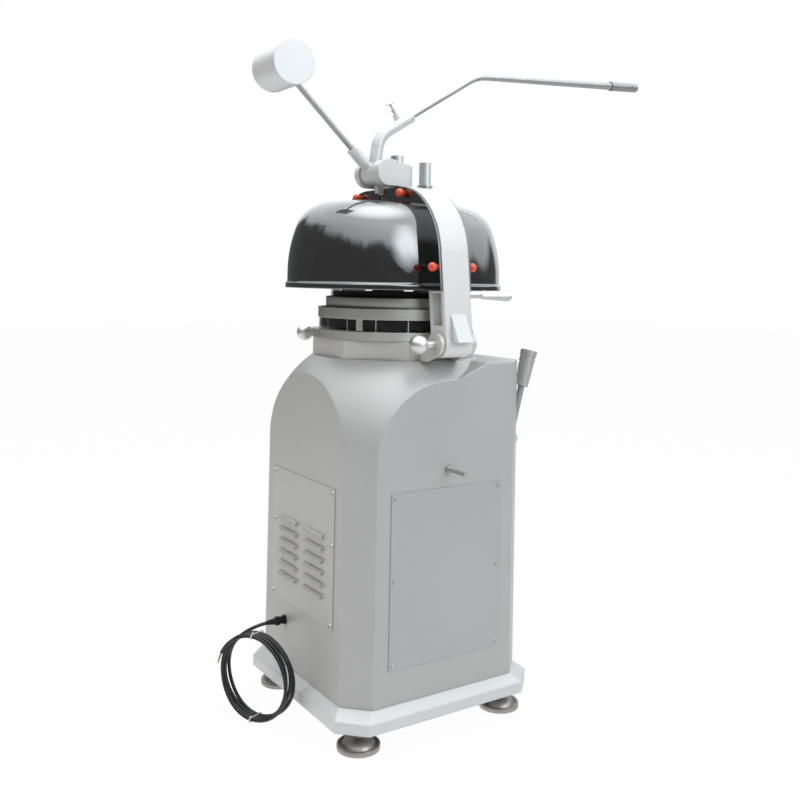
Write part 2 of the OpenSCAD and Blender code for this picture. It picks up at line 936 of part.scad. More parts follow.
// Radial strips of one ring of cells
module ring_strips(count, turn, r1, r2, w) {
    for (k = [0 : count - 1]) rotate(turn + k * 360 / count) translate([r1, -w / 2]) square([r2 - r1, w]);
}

// Plan of the knives, or of the slots they stand in: three rings of strips with two round strips between
// them
module knife_plan(w, outer, pin) {
    ring_strips(outer_cells, knife_turn, middle_ring_r, outer, w);
    ring_strips(middle_cells, knife_turn + 180 / middle_cells, inner_ring_r, middle_ring_r, w);
    ring_strips(inner_cells, knife_turn, 0, inner_ring_r, w);
    for (r = [inner_ring_r, middle_ring_r]) difference() {
        circle(r + w / 2);
        circle(r - w / 2);
    }
    circle(pin, $fn = 32);
}

module knives() {
    color(chrome_colour) translate([0, 0, knife_z])
        linear_extrude(knife_h) knife_plan(knife_t, cutter_r, hub_pin_r);
}

module plungers() {
    slot_w = knife_t + 2 * cell_gap;
    slot_top = knife_z + knife_h;
    color(black_colour) {
        translate([0, 0, plunger_z]) linear_extrude(slot_top - plunger_z) difference() {
            circle(plunger_r, $fn = 96);
            knife_plan(slot_w, cutter_r + overrun, hub_pin_r + cell_gap);
        }
        translate([0, 0, slot_top]) cylinder(h = press_z - slot_top, r = plunger_r, $fn = 96);
    }
}

module chamber_ring() {
    color(silver_colour) translate([0, 0, chamber_z]) difference() {
        cylinder(h = chamber_h, r = chamber_r, $fn = 96);
        translate([0, 0, -overrun]) cylinder(h = chamber_h + 2 * overrun, r = chamber_in, $fn = 96);
    }
}

// Distance pieces that stop the head just above the table
module distance_stops() {
    stop_z = table_h + stop_gap;
    color(silver_colour) for (k = [0 : stops - 1]) rotate(stop_turn + k * 360 / stops)
        translate([chamber_in, -stop_w / 2, stop_z])
            cube([chamber_r - chamber_in - cell_gap, stop_w, chamber_z - stop_z]);
}

module press_plate() {
    color(silver_colour) translate([0, 0, press_z]) cylinder(h = press_t, r = press_r, $fn = 96);
}

module head_carrier() {
    color(black_colour) translate([0, 0, carrier_z]) cylinder(h = carrier_t, r = carrier_r, $fn = 96);
}

module head_screws() {
    color(steel_colour) for (k = [0 : head_bolts - 1]) rotate((k + 0.5) * 360 / head_bolts)
        translate([head_bolt_pcr, 0, carrier_z]) hex(head_bolt_r, head_bolt_t);
}

// Side view of the rack teeth, with a gap level with the lever shaft
module rack_profile() {
    for (k = [0 : rack_teeth - 1])
        translate([rack_line, hub_z + (1.5 - k) * tooth_pitch - tooth_pitch]) polygon([
        [-tooth_root - overrun, -tooth_pitch * tooth_share], [tooth_m, -tooth_pitch * tooth_tip_share / 2],
        [tooth_m, tooth_pitch * tooth_tip_share / 2], [-tooth_root - overrun, tooth_pitch * tooth_share]
    ]);
}

module rack() {
    color(steel_colour) {
        difference() {
            translate([0, rack_y, carrier_top])
                cylinder(h = gantry_top + rack_top - carrier_top, r = rack_r);
            translate([-rack_r, rack_line - tooth_root, hub_z - (rack_teeth - 1) * tooth_pitch])
                cube([2 * rack_r, rack_r, gantry_top + rack_top]);
        }
        side_plane() linear_extrude(rack_tooth_w, center = true) rack_profile();
        translate([0, rack_y, carrier_top]) cylinder(h = guide_foot_t, r = guide_foot_r);
    }
}

module guide_posts() {
    color(steel_colour) both_sides() translate([guide_x, guide_y, carrier_top]) {
        cylinder(h = gantry_top + guide_top - carrier_top, r = guide_r);
        cylinder(h = guide_foot_t, r = guide_foot_r);
    }
}

// Gantry

// Outer half width of the arch's straight leg at a height
function leg_x(z, half) = half - (z - pin_z) * tan(leg_lean);

// Filled arch: leaning sides and a flat top joined by round corners
module arch_fill(half, top, r, low) {
    edge = leg_x(top, half);
    reach = r / tan(45 + leg_lean / 2);
    side = [edge + reach * sin(leg_lean), top - reach * cos(leg_lean)];
    centre = [edge - reach, top - r];
    difference() {
        polygon([[-leg_x(low, half), low], [leg_x(low, half), low], [edge, top], [-edge, top]]);
        for (turn = [0, 1]) mirror([turn, 0]) difference() {
            polygon([
                centre, side, [side[0] + leg_d, side[1]], [side[0] + leg_d, top + overrun],
                    [centre[0], top + overrun]
            ]);
            translate(centre) circle(r + arc_swell, $fn = 96);
        }
    }
}

// Front view of the gantry: an arch with a round knuckle at each foot
module gantry_profile() {
    difference() {
        arch_fill(gantry_half, gantry_top, arch_r, pin_z);
        arch_fill(gantry_half - leg_d, gantry_top - beam_h, arch_r - (leg_d + beam_h) / 2, pin_z - overrun);
    }
    both_sides() translate([pin_x, pin_z]) circle(knuckle_r);
}

// Front view of the recess that lightens a leg below the covers
module pocket_profile() {
    low = pin_z + pocket_low;
    high = rim_z - pocket_top_gap;
    in_x = leg_d - pocket_margin;
    polygon([
        [leg_x(low, gantry_half) - in_x, low], [leg_x(low, gantry_half) - pocket_margin, low],
        [leg_x(high, gantry_half) - pocket_margin, high], [leg_x(high, gantry_half) - in_x, high]
    ]);
}

// Front view of the wedge on the outside of a leg
module wedge_profile() {
    low = pin_z + wedge_low;
    high = low + wedge_h;
    polygon([
        [leg_x(low, gantry_half) - pocket_margin, low], [leg_x(low, gantry_half) + wedge_out, low],
        [leg_x(high, gantry_half), high], [leg_x(high, gantry_half) - pocket_margin, high]
    ]);
}

latch_z = rim_z - latch_drop;
latch_x = leg_x(latch_z, gantry_half) - latch_inset;
latch_y = -gantry_w / 2 - latch_out;

module gantry() {
    bush_r = guide_r + bush_t;
    color(silver_colour) difference() {
        union() {
            difference() {
                front_plane(gantry_w) gantry_profile();
                both_sides() for (face = [-1, 1]) translate([0, face * (gantry_w - pocket_d) / 2, 0])
                    front_plane(pocket_d + overrun) pocket_profile();
            }
            both_sides() front_plane(wedge_w) wedge_profile();
            translate([-latch_x, latch_y, latch_z]) cylinder(h = latch_t, r = latch_r, $fn = 32);
            translate([-latch_x - latch_lug_w / 2, latch_y, latch_z])
                cube([latch_lug_w, latch_out + pocket_d + overrun, latch_t]);
        }
        both_sides() translate([guide_x, guide_y, gantry_top - 2 * beam_h])
            cylinder(h = 3 * beam_h, r = bush_r + hole_gap);
        translate([0, rack_y, gantry_top - 2 * beam_h]) cylinder(h = 3 * beam_h, r = rack_r + pass_gap);
        sector_slot();
        knob_holes();
        translate([pin_x, 0, pin_z]) rotate([90, 0, 0])
            cylinder(h = 2 * gantry_w, r = pin_r + hole_gap, center = true, $fn = 32);
        translate([-pin_x, gantry_w / 2 + overrun, pin_z]) rotate([90, 0, 0])
            cylinder(h = lock_hole_l + overrun, r = pin_r + run_gap, $fn = 32);
        translate([-latch_x, latch_y, latch_z - overrun])
            cylinder(h = latch_t + 2 * overrun, r = latch_screw_r + hole_gap, $fn = 24);
    }
}

module guide_bushes() {
    bush_l = beam_h + bush_lip_t;
    color(steel_colour) both_sides() translate([guide_x, guide_y, gantry_top - beam_h]) difference() {
        union() {
            cylinder(h = bush_l, r = guide_r + bush_t);
            translate([0, 0, beam_h]) cylinder(h = bush_lip_t, r = bush_lip_r);
        }
        translate([0, 0, -overrun]) cylinder(h = bush_l + 2 * overrun, r = guide_r + run_gap);
    }
}

// Pin that the gantry tilts about, with a ball on its rear end
module hinge_pin() {
    color(steel_colour) translate([pin_x, 0, pin_z]) rotate([-90, 0, 0]) {
        translate([0, 0, -ear_out]) cylinder(h = ear_out + hinge_ball_y, r = pin_r, $fn = 32);
        translate([0, 0, hinge_ball_y]) sphere(ball_r, $fn = 48);
    }
}

module lock_pin() {
    start = gantry_w / 2 + lock_end_gap;
    color(chrome_colour) translate([-pin_x, start, pin_z]) rotate([-90, 0, 0])
        cylinder(h = lock_ball_y - start - hole_gap, r = pin_r, $fn = 32);
}

module lock_ball() {
    color(chrome_colour) translate([-pin_x, lock_ball_y, pin_z]) rotate([90, 0, 0]) difference() {
        sphere(ball_r, $fn = 48);
        cylinder(h = ball_r + overrun, r = pin_r + hole_gap, $fn = 32);
    }
}

// Covers

// Half section of a cover, drawn in by an inset. Each arc swells a hair past the next one, so that they
// cross.
module cover_profile(inset) {
    low = inset > 0 ? rim_z - overrun : rim_z;
    join_z = wall_arc_z + (wall_arc_r - inset) * arc_step / arc_run;
    translate([0, low]) square([cover_r - inset - arc_swell, wall_arc_z - low]);
    intersection() {
        translate([wall_arc_x, wall_arc_z]) circle(wall_arc_r - inset, $fn = 128);
        translate([0, wall_arc_z - arc_lap]) square([cover_r, join_z - wall_arc_z + arc_lap]);
    }
    intersection() {
        translate([crown_arc_x, crown_arc_z]) circle(crown_arc_r - inset + arc_swell, $fn = 96);
        translate([0, wall_arc_z]) square([cover_r, crown_z - inset - wall_arc_z]);
    }
    translate([0, wall_arc_z]) square([crown_arc_x, crown_z - inset - wall_arc_z]);
}

// Half bowl of a cover behind the gantry, drawn in by an inset
module cover_bowl(inset) {
    near = inset > 0 ? flange_y - overrun : flange_y;
    translate([0, cover_axis, 0]) rotate_extrude(angle = 180) cover_profile(inset);
    translate([0, (near + cover_axis) / 2, 0]) front_plane(cover_axis - near) both_sides()
        cover_profile(inset);
}

// Lip around the lower rim of a cover
module cover_lip() {
    translate([0, cover_axis, rim_z]) rotate_extrude(angle = 180)
        translate([cover_r - cover_t, 0]) square([cover_t + lip_out, lip_h]);
    both_sides() translate([cover_r - cover_t, flange_y, rim_z])
        cube([cover_t + lip_out, cover_axis - flange_y, lip_h]);
}

// Places of the knobs on the right half of both flanges, with the axis of a knob along Z. The studs of the
// upper knobs are short, because the guide bushes stand close behind them.
module knob_places() {
    side_z = rim_z + knob_side_rise;
    side_x = leg_x(side_z, gantry_half) - knob_side_inset;
    for (face = [0, 1]) mirror([0, face, 0])
        for (p = [[knob_top_x, gantry_top - knob_top_drop, knob_short_l], [side_x, side_z, knob_stud_l]])
            translate([p[0], flange_y + flange_t, p[1]]) rotate([-90, 0, 0]) let($stud_l = p[2]) children();
}

// Holes for the studs of the knobs
module knob_holes() {
    both_sides() knob_places() translate([0, 0, -$stud_l - knob_hole_gap])
        cylinder(h = $stud_l + knob_hole_gap + overrun, r = knob_stud_r + hole_gap, $fn = 24);
}

module cover() {
    difference() {
        union() {
            cover_bowl(0);
            cover_lip();
            translate([0, flange_y + flange_t / 2, 0]) front_plane(flange_t) intersection() {
                arch_fill(gantry_half - flange_inset, gantry_top - flange_inset,
                    arch_r - flange_inset, rim_z);
                translate([-gantry_half, rim_z]) square([2 * gantry_half, gantry_rise]);
            }
        }
        cover_bowl(cover_t);
        knob_holes();
    }
}

// Room for the toothed sector in the gantry and in the rear cover
module sector_slot() {
    translate([-sector_w / 2 - slot_gap, rack_y, gantry_top - slot_depth])
        cube([sector_w + 2 * slot_gap, 2 * gantry_w, 2 * slot_depth]);
}

module rear_cover() {
    color(black_colour) difference() {
        cover();
        translate([0, 0, crown_z - gantry_top + slot_depth + slot_gap]) sector_slot();
    }
}

module front_cover() {
    color(black_colour) mirror([0, 1, 0]) cover();
}

module cover_knobs() {
    color(red_colour) both_sides() knob_places() {
        translate([0, 0, knob_rise]) sphere(knob_r, $fn = 32);
        cylinder(h = knob_rise, r = knob_neck_r, $fn = 24);
        translate([0, 0, -$stud_l]) cylinder(h = $stud_l + overrun, r = knob_stud_r, $fn = 24);
    }
}

module latch_lever() {
    plate_z = latch_z + latch_t + pass_gap;
    color(silver_colour) translate([-latch_x, latch_y, plate_z]) difference() {
        union() {
            cylinder(h = latch_bar_t, r = latch_r, $fn = 32);
            translate([-latch_bar_w / 2, latch_grip_l - latch_l - overrun, 0])
                cube([latch_bar_w, latch_l - latch_grip_l + overrun, latch_bar_t]);
            translate([0, latch_grip_l - latch_l, latch_bar_t / 2]) rotate([90, 0, 0]) {
                cylinder(h = latch_grip_l, r1 = latch_grip_low_r, r2 = latch_grip_r, $fn = 32);
                translate([0, 0, latch_grip_l]) sphere(latch_grip_r, $fn = 32);
            }
        }
        translate([0, 0, -overrun]) cylinder(h = latch_bar_t + 2 * overrun,
            r = latch_screw_r + run_gap, $fn = 24);
    }
}

module latch_screw() {
    top = latch_t + latch_bar_t + 2 * pass_gap;
    color(steel_colour) translate([-latch_x, latch_y, latch_z]) {
        cylinder(h = top, r = latch_screw_r, $fn = 24);
        translate([0, 0, top]) hex(latch_head_r, latch_head_t);
    }
}

// Press lever

// Side view of a bearing block: a round end about the shaft and a nose that falls towards the front
module block_profile() {
    nose = hub_r * 2 * block_nose_share;
    translate([hub_y, hub_z]) circle(hub_r);
    polygon([
        [block_front, gantry_top], [hub_y, gantry_top], [hub_y, hub_z + hub_r],
        [hub_y - hub_r * sin(20), hub_z + hub_r * cos(20)], [block_front, gantry_top + nose]
    ]);
}

// One bearing block, bored from the side of the lever
module bearing_block(w) {
    difference() {
        side_plane() linear_extrude(w) block_profile();
        translate([-overrun, hub_y, hub_z]) rotate([0, 90, 0])
            cylinder(h = w - block_skin + overrun, r = lever_shaft_r + run_gap, $fn = 48);
    }
}

module bearing_blocks() {
    color(silver_colour) {
        translate([boss_right, 0, 0]) bearing_block(right_block_w);
        mirror([1, 0, 0]) translate([boss_left, 0, 0]) bearing_block(left_block_w);
    }
}

// Side view of one tooth of the sector, pointing along +X from the shaft
module sector_tooth() {
    half_foot = tooth_pitch * tooth_share;
    half_tip = tooth_pitch * tooth_tip_share / 2;
    translate([sector_r, 0]) polygon([
        [-tooth_root - overrun, -half_foot], [tooth_m, -half_tip], [tooth_m, half_tip],
            [-tooth_root - overrun, half_foot]
    ]);
}

// Side view of the toothed sector that lifts the rack
module sector_profile() {
    root_r = sector_r - tooth_root;
    first = half_turn - sector_lead;
    sweep = (sector_teeth - 2) * sector_step + 2 * sector_lead;
    translate([hub_y, hub_z]) {
        intersection() {
            circle(root_r);
            polygon([
                [0, 0], 2 * root_r * [cos(first), sin(first)], 2 * root_r * [cos(first + sweep / 2),
                    sin(first + sweep / 2)],
                2 * root_r * [cos(first + sweep), sin(first + sweep)]
            ]);
        }
        for (k = [0 : sector_teeth - 1]) rotate(180 + (k - 1) * sector_step) sector_tooth();
    }
}

bend_swell = 0.2;
hub_at = [hub_y, hub_z];
post_angle = 90 + post_lean;
rod_angle = 180 - rod_slope;
handle_angle = 180 - handle_slope;
post_end = hub_at + post_l * [cos(post_angle), sin(post_angle)];
rod_end = post_end + rod_l * [cos(rod_angle), sin(rod_angle)];
post_back = post_bend_r * tan((rod_angle - post_angle) / 2);
rod_back = rod_bend_r * tan((handle_angle - rod_angle) / 2);
sleeve_end = post_end + sleeve_l * [cos(rod_angle), sin(rod_angle)];

module lever_hub() {
    hub_w = boss_left + boss_right - 2 * hub_side_gap;
    color(silver_colour) difference() {
        union() {
            side_plane() {
                translate([hub_y, hub_z, hub_side_gap - boss_left]) cylinder(h = hub_w, r = boss_r);
                linear_extrude(sector_w, center = true) sector_profile();
                bar(hub_at, arm_slope, socket_l, socket_r, socket_r);
                bar(hub_at, post_angle, post_l - post_back + overrun, post_r, post_r);
                bend(post_end, post_angle, rod_angle - post_angle, post_bend_r, post_r);
            }
        }
        side_plane() {
            translate(hub_at) cylinder(h = 2 * hub_w, r = lever_shaft_r + hole_gap, center = true,
                $fn = 48);
            bar(hub_at + (socket_l - socket_depth) * [cos(arm_slope), sin(arm_slope)], arm_slope,
                socket_depth + overrun,
                arm_r + hole_gap, arm_r + hole_gap);
        }
    }
}

module lever_shaft() {
    left = boss_left + left_block_w - block_skin - pass_gap;
    right = boss_right + right_block_w - block_skin - pass_gap;
    color(steel_colour) side_plane() translate([hub_y, hub_z, -left])
        cylinder(h = left + right, r = lever_shaft_r, $fn = 48);
}

// Runs its children at the thumb screw, with its axis along Z
module at_thumb() {
    at = sleeve_end - thumb_at * [cos(rod_angle), sin(rod_angle)];
    side_plane() translate(at) rotate([0, 0, rod_angle - 90]) rotate([0, 90, 0]) children();
}

// Sleeve that clamps the rod in the end of the bent tube, with a boss for the thumb screw
module rod_sleeve() {
    from = post_end + post_back * [cos(rod_angle), sin(rod_angle)];
    sleeve_run = sleeve_l - post_back;
    color(silver_colour) difference() {
        union() {
            side_plane() bar(from, rod_angle, sleeve_run, sleeve_r, sleeve_r);
            at_thumb() cylinder(h = sleeve_r + thumb_boss_h, r = thumb_boss_r, $fn = 32);
        }
        side_plane() bar(from + (sleeve_run - socket_depth) * [cos(rod_angle), sin(rod_angle)], rod_angle,
            socket_depth + overrun, rod_r + hole_gap, rod_r + hole_gap);
        at_thumb() cylinder(h = 2 * sleeve_r + thumb_boss_h, r = thumb_r + hole_gap, $fn = 24);
    }
}

module thumb_screw() {
    color(steel_colour) at_thumb() {
        translate([0, 0, rod_r + pass_gap])
            cylinder(h = sleeve_r - rod_r - pass_gap + thumb_l, r = thumb_r, $fn = 24);
        translate([0, 0, sleeve_r + thumb_foot_rise])
            cylinder(h = thumb_foot_l, r = thumb_foot_r, $fn = 24);
        translate([0, 0, sleeve_r + thumb_l]) rotate([90, 0, 0])
            cylinder(h = thumb_bar_l, r = thumb_bar_r, center = true, $fn = 24);
    }
}

module handle_rod() {
    from = sleeve_end - (socket_depth - hole_gap) * [cos(rod_angle), sin(rod_angle)];
    rod_run = rod_l - sleeve_l + socket_depth - hole_gap - rod_back;
    handle_run = handle_l - rod_back;
    start = rod_end + rod_back * [cos(handle_angle), sin(handle_angle)];
    color(steel_colour) side_plane() {
        bar(from, rod_angle, rod_run + overrun, rod_r, rod_r);
        bend(rod_end, rod_angle, handle_angle - rod_angle, rod_bend_r, rod_r);
        bar(start - overrun * [cos(handle_angle), sin(handle_angle)], handle_angle,
            handle_run - end_sleeve_l / 2 + overrun, rod_r, handle_end_r);
    }
}

module end_sleeve() {
    from = rod_end + (handle_l - end_sleeve_l) * [cos(handle_angle), sin(handle_angle)];
    color(steel_colour) side_plane() difference() {
        bar(from, handle_angle, end_sleeve_l, end_sleeve_r, end_sleeve_r);
        bar(from - overrun * [cos(handle_angle), sin(handle_angle)], handle_angle,
            end_sleeve_l + 2 * overrun,
            handle_end_r + end_sleeve_gap, handle_end_r + end_sleeve_gap);
        translate(from + end_sleeve_l * end_pin_share * [cos(handle_angle), sin(handle_angle)])
            cylinder(h = 4 * end_sleeve_r, r = end_pin_r, center = true, $fn = 24);
    }
}

module weight_arm() {
    inset = socket_l - socket_depth + hole_gap;
    color(steel_colour) side_plane()
        bar(hub_at + inset * [cos(arm_slope), sin(arm_slope)], arm_slope, arm_l - inset, arm_r, arm_r);
}

module counterweight() {
    at = hub_at + arm_l * [cos(arm_slope), sin(arm_slope)];
    color(silver_colour) side_plane() difference() {
        translate(at) cylinder(h = weight_l, r = weight_r, center = true, $fn = 96);
        bar(at - 2 * weight_r * [cos(arm_slope), sin(arm_slope)], arm_slope, 2 * weight_r + hole_gap,
            arm_r + hole_gap, arm_r + hole_gap);
    }
}

// Rounding lever

round_at = [-half_d - round_pivot_out, round_pivot_z];
round_angle = 90 + round_lean;

// Runs its children in the plane of the rounding lever
module round_plane() {
    translate([-round_x, 0, 0]) side_plane() children();
}

module lever_lug() {
    lug_in = round_hub_w / 2 + lug_gap;
    color(silver_colour) {
        translate([-round_x - lug_base_w / 2, -half_d - lug_base_t, round_pivot_z - lug_base_h / 2])
            cube([lug_base_w, lug_base_t, lug_base_h]);
        for (face = [-1, 1]) round_plane()
            translate([0, 0, face * (lug_in + lug_t / 2)]) linear_extrude(lug_t, center = true)
            difference() {
                union() {
                    translate(round_at) circle(round_hub_r, $fn = 48);
                    translate([-half_d - round_pivot_out, round_pivot_z - round_hub_r])
                        square([round_pivot_out - lug_base_t / 2, 2 * round_hub_r]);
                }
                translate(round_at) circle(round_pin_r + run_gap, $fn = 32);
            }
    }
}

module rounding_lever() {
    pin_l = round_hub_w + 2 * (lug_gap + lug_t);
    hub_cut = round_pivot_out - lug_base_t - pass_gap;
    color(silver_colour) round_plane() {
        translate(round_at) cylinder(h = round_hub_w, r = min(round_hub_r, hub_cut), center = true,
            $fn = 48);
        translate(round_at) cylinder(h = pin_l, r = round_pin_r, center = true, $fn = 32);
        bar(round_at, round_angle, round_l - grip_l + hole_gap, round_rod_r, round_rod_r);
    }
}

// Turned grip with two bright rings
module rounding_grip() {
    from = round_at + (round_l - grip_l + hole_gap) * [cos(round_angle), sin(round_angle)];
    color(chrome_colour) round_plane() translate(from) rotate([0, 0, round_angle])
        rotate([0, 90, 0]) difference() {
        cylinder(h = grip_l - hole_gap, r1 = grip_r * grip_low_share, r2 = grip_r, $fn = 64);
        for (share = groove_shares) translate([0, 0, grip_l * share]) difference() {
            cylinder(h = groove_ring_t, r = 2 * grip_r);
            translate([0, 0, -overrun])
                cylinder(h = groove_ring_t + 2 * overrun,
                    r = grip_r * (grip_low_share + (1 - grip_low_share) * share) - groove_ring_d);
        }
    }
}

// Switch box

// Runs its children at a button, with the axis of the button along -Y
module at_button(side) {
    translate([box_x, -half_d - box_d, box_z + side * button_dz]) rotate([90, 0, 0]) children();
}

module switch_box() {
    color(black_colour) difference() {
        union() {
            translate([box_x - box_w / 2, -half_d - box_d, box_z - box_h / 2]) cube([box_w, box_d, box_h]);
            for (side = [-1, 1]) at_button(side) cylinder(h = button_ring_t, r = button_ring_r);
        }
        translate([box_x - box_w / 2 + box_wall, -half_d - box_d + box_wall, box_z - box_h / 2 + box_wall])
            cube([box_w - 2 * box_wall, box_d, box_h - 2 * box_wall]);
        for (side = [-1, 1]) at_button(side) translate([0, 0, -box_d / 2])
            cylinder(h = box_d, r = button_r + pass_gap);
    }
}

module push_button(side) {
    at_button(side) translate([0, 0, button_ring_t + button_out - button_l])
        cylinder(h = button_l, r = button_r);
    at_button(side) translate([0, 0, button_ring_t + button_out - button_l])
        cylinder(h = box_wall, r = button_ring_r);
}

module start_button() {
    color(green_colour) push_button(1);
}

module stop_button() {
    color(red_colour) push_button(-1);
}

// Gland and cord

module cable_gland() {
    color(black_colour) translate([gland_x, half_d, gland_z]) rotate([-90, 0, 0]) difference() {
        union() {
            translate([0, 0, -2 * wall_t])
                cylinder(h = 2 * wall_t + gland_l - gland_nut_t, r = gland_body_r);
            hex(gland_hex_r, gland_hex_t);
            translate([0, 0, gland_hex_t + gland_body_t]) hex(gland_nut_r, gland_nut_t);
        }
        translate([0, 0, -2 * wall_t - overrun])
            cylinder(h = 2 * wall_t + gland_l + 2 * overrun, r = cord_r + hole_gap, $fn = 32);
    }
}

gland_mouth = [gland_x, half_d + gland_l, gland_z];

// Distance of the cord from the middle of the coil: the turns draw together at the ties and spread
// between them
function coil_reach(a) = coil_r + coil_spread * sin(a * coil_wave_share) * cos(a) * cos(a);

// Point of the coil after turning through an angle
function coil_point(turned) =
    let(a = coil_start - turned, reach = coil_reach(a))
    coil_centre + (turned / 360 - coil_turns / 2) * coil_pitch * coil_out
        + reach * cos(a) * coil_along + reach * sin(a) * [0, 0, 1];

coil_points = [for (k = [0 : coil_turns * turn_rings + coil_extra * turn_rings / 360])
    coil_point(k * 360 / turn_rings)];
lead_from = gland_mouth + [0, lead_run, 0];
lead_heading = [0, 1, 0];
lead_to_heading = sin(coil_start) * coil_along - cos(coil_start) * [0, 0, 1];
// Point of the curve between the straight run and the coil, as a share of the way
function lead_point(t) =
    (2 * t * t * t - 3 * t * t + 1) * lead_from + (t * t * t - 2 * t * t + t) * lead_pull * lead_heading
    + (3 * t * t - 2 * t * t * t) * coil_points[0] + (t * t * t - t * t) * lead_pull * lead_to_heading;
lead_points = concat(
    [gland_mouth - lead_inside * lead_heading, gland_mouth],
    [for (k = [0 : lead_steps - 1]) lead_point(k / lead_steps)]
);
cord_points = concat(lead_points, coil_points);
cord_count = len(cord_points);
function unit(v) = v / norm(v);
function cord_heading(k) = unit(cord_points[min(k + 1, cord_count - 1)] - cord_points[max(k - 1, 0)]);
function cord_ring(k) =
    let(t = cord_heading(k), across = unit(cross(t, coil_out)), up = cross(across, t))
    [for (s = [0 : cord_sides - 1]) cord_points[k] + cord_r * (cos(s * 360 / cord_sides)
        * across + sin(s * 360 / cord_sides) * up)];
cord_skin = [for (k = [0 : cord_count - 1]) each cord_ring(k)];
cord_walls = [
    for (k = [0 : cord_count - 2]) for (s = [0 : cord_sides - 1])
        let(a = k * cord_sides + s, b = k * cord_sides + (s + 1) % cord_sides)
        each [[a, b, b + cord_sides], [a, b + cord_sides, a + cord_sides]]
];
cord_ends = [
    for (s = [1 : cord_sides - 2])
        each [[0, s + 1, s], (cord_count - 1) * cord_sides * [1, 1, 1] + [0, s, s + 1]]
];
cord_least_gap = min([
    for (i = [0 : cord_count - 1]) for (j = [i + turn_rings / 2 : cord_count - 1])
        norm(cord_points[i] - cord_points[j]) - cord_d
]);
echo(cord_least_gap = cord_least_gap);

module power_cord() {
    color(black_colour) polyhedron(points = cord_skin, faces = concat(cord_walls, cord_ends));
}

// Band around the turns of the coil at its top and at its bottom
module cord_ties() {
    inner_w = coil_turns * coil_pitch + cord_d + 2 * tie_gap;
    inner_h = cord_d + 2 * tie_gap;
    color(plastic_colour) for (a = [90, -90])
        translate(coil_centre + coil_r * sin(a) * [0, 0, 1]) rotate([0, 0, coil_turn]) difference() {
            cube([tie_w, inner_w + 2 * tie_t, inner_h + 2 * tie_t], center = true);
            cube([tie_w + 2 * overrun, inner_w, inner_h], center = true);
        }
}

plinth();
cabinet_shell();
levelling_feet();
foot_nuts();
left_panel();
right_panel();
rear_panel();
panel_screws();
tension_stud();
tension_nut();
tension_block();
neck();
bearing_housing();
main_shaft();
driven_pulley();
motor_pulley();
drive_belt();
motor_plate();
motor();
rounding_table();
moulding_plate();
knives();
plungers();
chamber_ring();
distance_stops();
press_plate();
head_carrier();
head_screws();
rack();
guide_posts();
gantry();
guide_bushes();
hinge_pin();
lock_pin();
lock_ball();
rear_cover();
front_cover();
cover_knobs();
latch_lever();
latch_screw();
bearing_blocks();
lever_hub();
lever_shaft();
rod_sleeve();
thumb_screw();
handle_rod();
end_sleeve();
weight_arm();
counterweight();
lever_lug();
rounding_lever();
rounding_grip();
switch_box();
start_button();
stop_button();
cable_gland();
power_cord();
cord_ties();
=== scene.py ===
# %% [markdown]
# # A divider rounder, dressed for its picture
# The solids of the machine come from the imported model, in metres, with the floor at z = 0 and the operator
# at -Y. This lesson adds what a solid can't show: the camera, the cord with its ties, rolled hems, a skirt,
# pressed feet, finishes with soft edges, and a studio.

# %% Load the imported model
import json
import math
from collections import namedtuple
import bmesh
import bpy
from mathutils import Matrix, Vector


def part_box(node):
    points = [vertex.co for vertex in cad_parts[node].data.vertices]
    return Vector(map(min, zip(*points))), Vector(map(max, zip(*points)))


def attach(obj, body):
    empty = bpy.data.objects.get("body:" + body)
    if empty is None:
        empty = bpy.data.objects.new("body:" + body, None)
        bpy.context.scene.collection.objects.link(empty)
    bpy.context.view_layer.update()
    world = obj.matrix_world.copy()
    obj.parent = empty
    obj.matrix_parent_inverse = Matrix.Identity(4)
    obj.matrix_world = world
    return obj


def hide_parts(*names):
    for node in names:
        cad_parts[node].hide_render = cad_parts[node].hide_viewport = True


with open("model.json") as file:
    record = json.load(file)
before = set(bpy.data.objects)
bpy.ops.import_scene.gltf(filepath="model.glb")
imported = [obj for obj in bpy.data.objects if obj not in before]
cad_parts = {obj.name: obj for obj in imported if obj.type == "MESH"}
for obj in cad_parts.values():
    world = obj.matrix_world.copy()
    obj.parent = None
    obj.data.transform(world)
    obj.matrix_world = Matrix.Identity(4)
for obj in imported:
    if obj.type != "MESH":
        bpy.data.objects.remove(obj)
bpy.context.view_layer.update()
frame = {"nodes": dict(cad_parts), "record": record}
nodes = frame["nodes"]
MM = 0.001

# %% [markdown]
# ## Camera
# The photograph was taken from behind the machine, to its left, at about the height of the table. A camera
# that tips down would make the uprights lean together. A nearly level one with a shifted frame keeps them
# parallel, as a product photographer does with a shift lens. Its place and lens were worked out from the
# cabinet's edges, so they are written here as numbers.

# %% Place the camera
camera_place = (-2.198, 1.390, 1.135)
view_turn, view_rise, view_roll = math.radians(56.0), math.radians(1.47), math.radians(1.08)
sensor_width, focal_length, far_limit = 36.0, 42.23, 60
shift_right, shift_up = -0.0288, -0.1813

